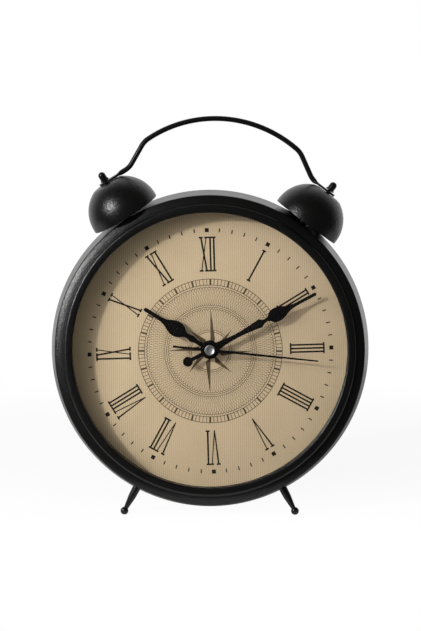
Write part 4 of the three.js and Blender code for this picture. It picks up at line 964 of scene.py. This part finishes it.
# Bezel. A stepped ring pressed from steel sheet: a flat inner band with a rolled edge, a narrow valley
# and a sloping outer band, with a skirt that goes over the drum's collar. It is coated like the drum.
BEZEL_SHEET = 0.75
OPENING_EDGE = (101.4, 1.6)
OPENING_ROUND = 1.6
HEM_DEPTH = 4.2
STEP_EDGE = (104.0, 2.2)
STEP_ROUND = 2.2
VALLEY_CORNER = (106.5, 2.2)
VALLEY_ROUND = 0.3
SLOPE_START = 107.4
SHOULDER_CENTRE = (111.3, 5.8)
SHOULDER_ROUND = 1.6
SHOULDER_START = -68
BEZEL_DEPTH = 9.5
bezel = turned([
    (OPENING_EDGE[0] - OPENING_ROUND, HEM_DEPTH),
    *arc(*OPENING_EDGE, OPENING_ROUND, 180, 270, 8),
    *arc(*STEP_EDGE, STEP_ROUND, -90, 0, 10),
    *arc(*VALLEY_CORNER, VALLEY_ROUND, 180, 90, 3)[1:],
    (SLOPE_START, VALLEY_CORNER[1] + VALLEY_ROUND),
    *arc(*SHOULDER_CENTRE, SHOULDER_ROUND, SHOULDER_START, 0, 8),
    (SHOULDER_CENTRE[0] + SHOULDER_ROUND, BEZEL_DEPTH),
    (SHOULDER_CENTRE[0] + SHOULDER_ROUND - BEZEL_SHEET, BEZEL_DEPTH),
    *arc(*SHOULDER_CENTRE, SHOULDER_ROUND - BEZEL_SHEET, 0, SHOULDER_START, 6),
    (SLOPE_START, VALLEY_CORNER[1] + VALLEY_ROUND + BEZEL_SHEET),
    *arc(*VALLEY_CORNER, VALLEY_ROUND + BEZEL_SHEET, 90, 180, 4),
    *arc(*STEP_EDGE, STEP_ROUND - BEZEL_SHEET, 0, -90, 6)[1:],
    (OPENING_EDGE[0] - OPENING_ROUND + BEZEL_SHEET, BEZEL_SHEET),
    (OPENING_EDGE[0] - OPENING_ROUND + BEZEL_SHEET, HEM_DEPTH),
], on_case, CASE_SIDES)
piece("stepped_bezel", bezel, powder_coat, "case", "black_powder_coat", "bezel")

# Back cover. A dished plastic disc with a square window round the movement is held to the drum's flange
# by four slotted pan-head screws.
COVER_FRONT = 41.3
COVER_DISH = 2.3
COVER_RIM = (99.5, 112.5)
DISH_RADIUS = 97.2
WINDOW_HALF = 34.0
WINDOW_ROUND = 6.0
COVER_EDGE = 0.25
SCREW_CIRCLE = 107.0
SCREW_COUNT = 4
SCREW_SEAT = 42.6
SCREW_HEAD = (3.6, 2.0)
SCREW_CROWN = ((1.0, 0.4), (0.92, 0.7), (0.75, 0.9), (0.5, 1.0))
SCREW_SHANK = (1.5, 6.0)
SCREW_SIDES = 36
SLOT_WIDTH = 0.9
SLOT_DEPTH = 0.9
SLOT_HALF = 5.0
SLOT_TURN = 0.7  # from each screw to the next, in radians


def window_reach(turn):
    """The distance from the dial's axis to the edge of the rounded square window."""
    small, large = sorted((abs(math.sin(turn)), abs(math.cos(turn))))
    straight = WINDOW_HALF / large
    corner = WINDOW_HALF - WINDOW_ROUND
    if small * straight <= corner:
        return straight
    along = corner * (small + large)
    return along + math.sqrt(along ** 2 - 2 * corner ** 2 + WINDOW_ROUND ** 2)


cover_rear = COVER_FRONT + SHEET
cover = turned([
    (window_reach, COVER_FRONT - COVER_DISH),
    (DISH_RADIUS, COVER_FRONT - COVER_DISH),
    (COVER_RIM[0], COVER_FRONT),
    (COVER_RIM[1] - COVER_EDGE, COVER_FRONT),
    (COVER_RIM[1], COVER_FRONT + COVER_EDGE),
    (COVER_RIM[1], cover_rear - COVER_EDGE),
    (COVER_RIM[1] - COVER_EDGE, cover_rear),
    (COVER_RIM[0], cover_rear),
    (COVER_RIM[0] - SHEET / 2, cover_rear - COVER_EDGE),
    (DISH_RADIUS, cover_rear - COVER_DISH + COVER_EDGE),
    (DISH_RADIUS - SHEET / 2, cover_rear - COVER_DISH),
    (window_reach, cover_rear - COVER_DISH),
], on_case, 4 * CASE_SIDES)
piece("rear_cover", cover, black_plastic, "case", "black_plastic", "back_cover")

screw_profile = [
    (0, SCREW_SEAT - SCREW_SHANK[1]),
    (SCREW_SHANK[0], SCREW_SEAT - SCREW_SHANK[1]),
    (SCREW_SHANK[0], SCREW_SEAT),
    (SCREW_HEAD[0], SCREW_SEAT),
    *[(wide * SCREW_HEAD[0], SCREW_SEAT + tall * SCREW_HEAD[1]) for wide, tall in SCREW_CROWN],
    (0, SCREW_SEAT + SCREW_HEAD[1]),
]
for i in range(SCREW_COUNT):
    turn = math.tau * (i + 0.5) / SCREW_COUNT
    middle_x, middle_z = SCREW_CIRCLE * math.sin(turn), SCREW_CIRCLE * math.cos(turn)

    def on_screw(radius, depth, around):
        return place(middle_x + radius * math.sin(around), depth, middle_z + radius * math.cos(around))

    screw = turned(screw_profile, on_screw, SCREW_SIDES)
    along, over = out_and_over(turn + SLOT_TURN * i)
    bottom = SCREW_SEAT + SCREW_HEAD[1] - SLOT_DEPTH
    corner = place(middle_x, bottom, middle_z) - SLOT_HALF * along - over * SLOT_WIDTH / 2
    slot = bmesh.new()
    add_block(slot, corner, (2 * SLOT_HALF * along, over * SLOT_WIDTH, MM * 2 * SLOT_DEPTH * rearward))
    screw = cut(screw, slot)
    piece(f"cover_screw_{i + 1}", screw, zinc_steel, "case", "zinc_plated_steel", f"back_screw_{i + 1}")

# Battery. An AA cell lies across the bay below the movement's cover and lifts out to the rear. Its steel
# can wears a plain shrunk-on jacket, turned in over both ends.
CELL_RADIUS = 7.1
CELL_ROUND = 0.6
CELL_SIDES = 64
NUB_RADIUS = 2.7
NUB_LONG = 1.2
NUB_EDGE = 0.3
JACKET = 0.15
JACKET_LAP = 1.6
JACKET_INSET = 0.1
JACKET_STRAIGHT = 0.8
CAN_GAP = 0.05
CAN_LIP = (0.2, 0.3)
CAN_END = 0.35
CAN_SHOULDER = 1.0
low, high = (Vector(corner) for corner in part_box("battery"))
cell_middle = (low + high) / 2


def on_cell(radius, along, turn):
    """The point at a radius round the cell's axis, and along it from the clock's middle."""
    sideways = math.cos(turn) * rearward + math.sin(turn) * upward
    return Vector((MM * along, cell_middle.y, cell_middle.z)) + MM * radius * sideways


# Printed shrink film: dark grey, glossy, with a paler band at one end and hardly visible stretch marks
# some millimetres long.
STRETCH = 6.0
BAND_SHARE = 0.72
shrink_film, tree, where = new_finish("printed_shrink_film")
stretch = add_noise(tree, where, STRETCH, 3.0)
film = add_blend(tree, stretch, "#2b2e33", "#3b3f45")
spot = add(tree, "ShaderNodeSeparateXYZ", {"Vector": where})
band_at = low.x + BAND_SHARE * (high.x - low.x)
banded = add_math(tree, "GREATER_THAN", spot.outputs["X"], band_at)
colour = add_blend(tree, banded, film, "#8f9397")
add_coat(tree, colour, 0.25, {"IOR": 1.5, "Metallic": 0.2})

left, right = low.x / MM, high.x / MM - NUB_LONG
lap_radius, bend_radius = CELL_RADIUS - JACKET_LAP, CELL_RADIUS - CELL_ROUND
first, last = left + JACKET_INSET, right - JACKET_INSET
jacket = turned([
    (lap_radius, first),
    (bend_radius, first),
    *arc(bend_radius, first + CELL_ROUND, CELL_ROUND, -90, 0, 5),
    *arc(bend_radius, last - CELL_ROUND, CELL_ROUND, 0, 90, 5),
    (lap_radius, last),
    (lap_radius, last - JACKET),
    (bend_radius - JACKET, last - JACKET),
    (CELL_RADIUS - JACKET, right - JACKET_STRAIGHT),
    (CELL_RADIUS - JACKET, left + JACKET_STRAIGHT),
    (bend_radius - JACKET, first + JACKET),
    (lap_radius, first + JACKET),
], on_cell, CELL_SIDES)
piece("cell_jacket", jacket, shrink_film, "battery", "battery_jacket")
can_radius = CELL_RADIUS - JACKET - CAN_GAP
can = turned([
    (0, left),
    (lap_radius - CAN_LIP[0], left),
    (lap_radius, left + CAN_LIP[1]),
    (can_radius - CELL_ROUND, left + CAN_END),
    (can_radius, left + CAN_SHOULDER),
    (can_radius, right - CAN_SHOULDER),
    (can_radius - CELL_ROUND, right - CAN_END),
    (NUB_RADIUS + CELL_ROUND, right - CAN_END),
    (NUB_RADIUS, right),
    (NUB_RADIUS, high.x / MM - NUB_EDGE),
    (NUB_RADIUS - NUB_EDGE, high.x / MM),
    (0, high.x / MM),
], on_cell, CELL_SIDES)
piece("cell_can", can, zinc_steel, "battery", "zinc_plated_steel", "battery")

# Studio. A white sweep lies under and behind the clock, a small softbox stands to the upper left of the
# camera, and the pale room fills the shadows. In reflections the room before the sweep is dark.
SWEEP_HALF = 0.5
SWEEP_FRONT = -0.07
SWEEP_REAR = 0.5
SHADOW_SHARES = (0.4, 1.0)
SHADOW_GLOW = 0.9
MIRRORED_GLOW = 0.07
KEY_DIRECTION = Vector((-11.08, -9.19, 6.19))
KEY_DISTANCE = 1.15
KEY_SIZE = 0.08
KEY_POWER = 9.3
ROOM_FILL = 0.46
ROOM_DARK = 0.02
ROOM_FADE = (0.1, 0.6)  # from dark to the sweep, in shares of straight behind

ends = ((-1, SWEEP_FRONT), (1, SWEEP_FRONT), (1, SWEEP_REAR), (-1, SWEEP_REAR))
floor_mesh = bpy.data.meshes.new("floor")
floor_mesh.from_pydata([(SWEEP_HALF * x, y, 0.0) for x, y in ends], [], [(0, 1, 2, 3)])
floor = bpy.data.objects.new("floor", floor_mesh)
bpy.context.collection.objects.link(floor)


def add_straight(tree, path, kind):
    """Adds what is 1 for a kind of ray that has met no matt surface since the camera, and else 0."""
    first = add_math(tree, "LESS_THAN", path.outputs["Diffuse Depth"], 0.5)
    return add_math(tree, "MULTIPLY", path.outputs[kind], first)


# White background paper: white to the camera and through glass, and partly in reflections, while the
# clock's shadow stays on it close to the clock.
paper, tree, where = new_finish("white_background_paper")
matt = add(tree, "ShaderNodeBsdfDiffuse", {"Color": "#f2f2f2"})
glow = add(tree, "ShaderNodeEmission", {"Color": "#ffffff", "Strength": 1.0})
path = add(tree, "ShaderNodeLightPath")
through = add_straight(tree, path, "Is Transmission Ray")
mirrored = add_math(tree, "MULTIPLY", add_straight(tree, path, "Is Glossy Ray"), MIRRORED_GLOW)
seen = add_math(tree, "MAXIMUM", path.outputs["Is Camera Ray"], through)
seen = add_math(tree, "MAXIMUM", seen, mirrored)
from_middle = add(tree, "ShaderNodeMapping", {
    "Vector": where, "Location": (0.0, (SWEEP_FRONT + SWEEP_REAR) / 2, 0.0),
    "Scale": (SWEEP_HALF, (SWEEP_REAR - SWEEP_FRONT) / 2, 1.0)}, vector_type="TEXTURE")
away = add(tree, "ShaderNodeVectorMath", {0: from_middle.outputs["Vector"]}, operation="LENGTH")
clear = add(tree, "ShaderNodeMapRange", {
    "Value": away.outputs["Value"], "From Min": SHADOW_SHARES[0], "From Max": SHADOW_SHARES[1],
    "To Min": SHADOW_GLOW, "To Max": 1.0})
share = add_math(tree, "MULTIPLY", seen, clear.outputs["Result"])
surface = add(tree, "ShaderNodeMixShader", {
    0: share, 1: matt.outputs["BSDF"], 2: glow.outputs["Emission"]})
add(tree, "ShaderNodeOutputMaterial", {"Surface": surface.outputs["Shader"]})
floor_mesh.materials.append(paper)

key_data = bpy.data.lights.new("softbox", "AREA")
key_data.energy = KEY_POWER
key_data.size = KEY_SIZE
key = bpy.data.objects.new("softbox", key_data)
key.location = hub + KEY_DISTANCE * KEY_DIRECTION.normalized()
key.rotation_euler = KEY_DIRECTION.to_track_quat("Z", "Y").to_euler()
bpy.context.collection.objects.link(key)

world = bpy.data.worlds.new("studio")
bpy.context.scene.world = world
world.use_nodes = True
tree = world.node_tree
tree.nodes.clear()
path = add(tree, "ShaderNodeLightPath")
where = add(tree, "ShaderNodeTexCoord").outputs["Generated"]
heading = add(tree, "ShaderNodeSeparateXYZ", {"Vector": where})
behind = add(tree, "ShaderNodeMapRange", {
    "Value": heading.outputs["Y"], "From Min": ROOM_FADE[0], "From Max": ROOM_FADE[1],
    "To Min": ROOM_DARK, "To Max": 1.0})
fill = add(tree, "ShaderNodeBackground", {"Color": "#ffffff", "Strength": ROOM_FILL})
sweep = add(tree, "ShaderNodeBackground", {"Color": "#ffffff", "Strength": behind.outputs["Result"]})
white = add(tree, "ShaderNodeBackground", {"Color": "#ffffff", "Strength": 1.0})
lit = add(tree, "ShaderNodeMixShader", {
    0: add_straight(tree, path, "Is Glossy Ray"), 1: fill.outputs["Background"],
    2: sweep.outputs["Background"]})
shown = add(tree, "ShaderNodeMixShader", {
    0: path.outputs["Is Camera Ray"], 1: lit.outputs["Shader"], 2: white.outputs["Background"]})
add(tree, "ShaderNodeOutputWorld", {"Surface": shown.outputs["Shader"]})
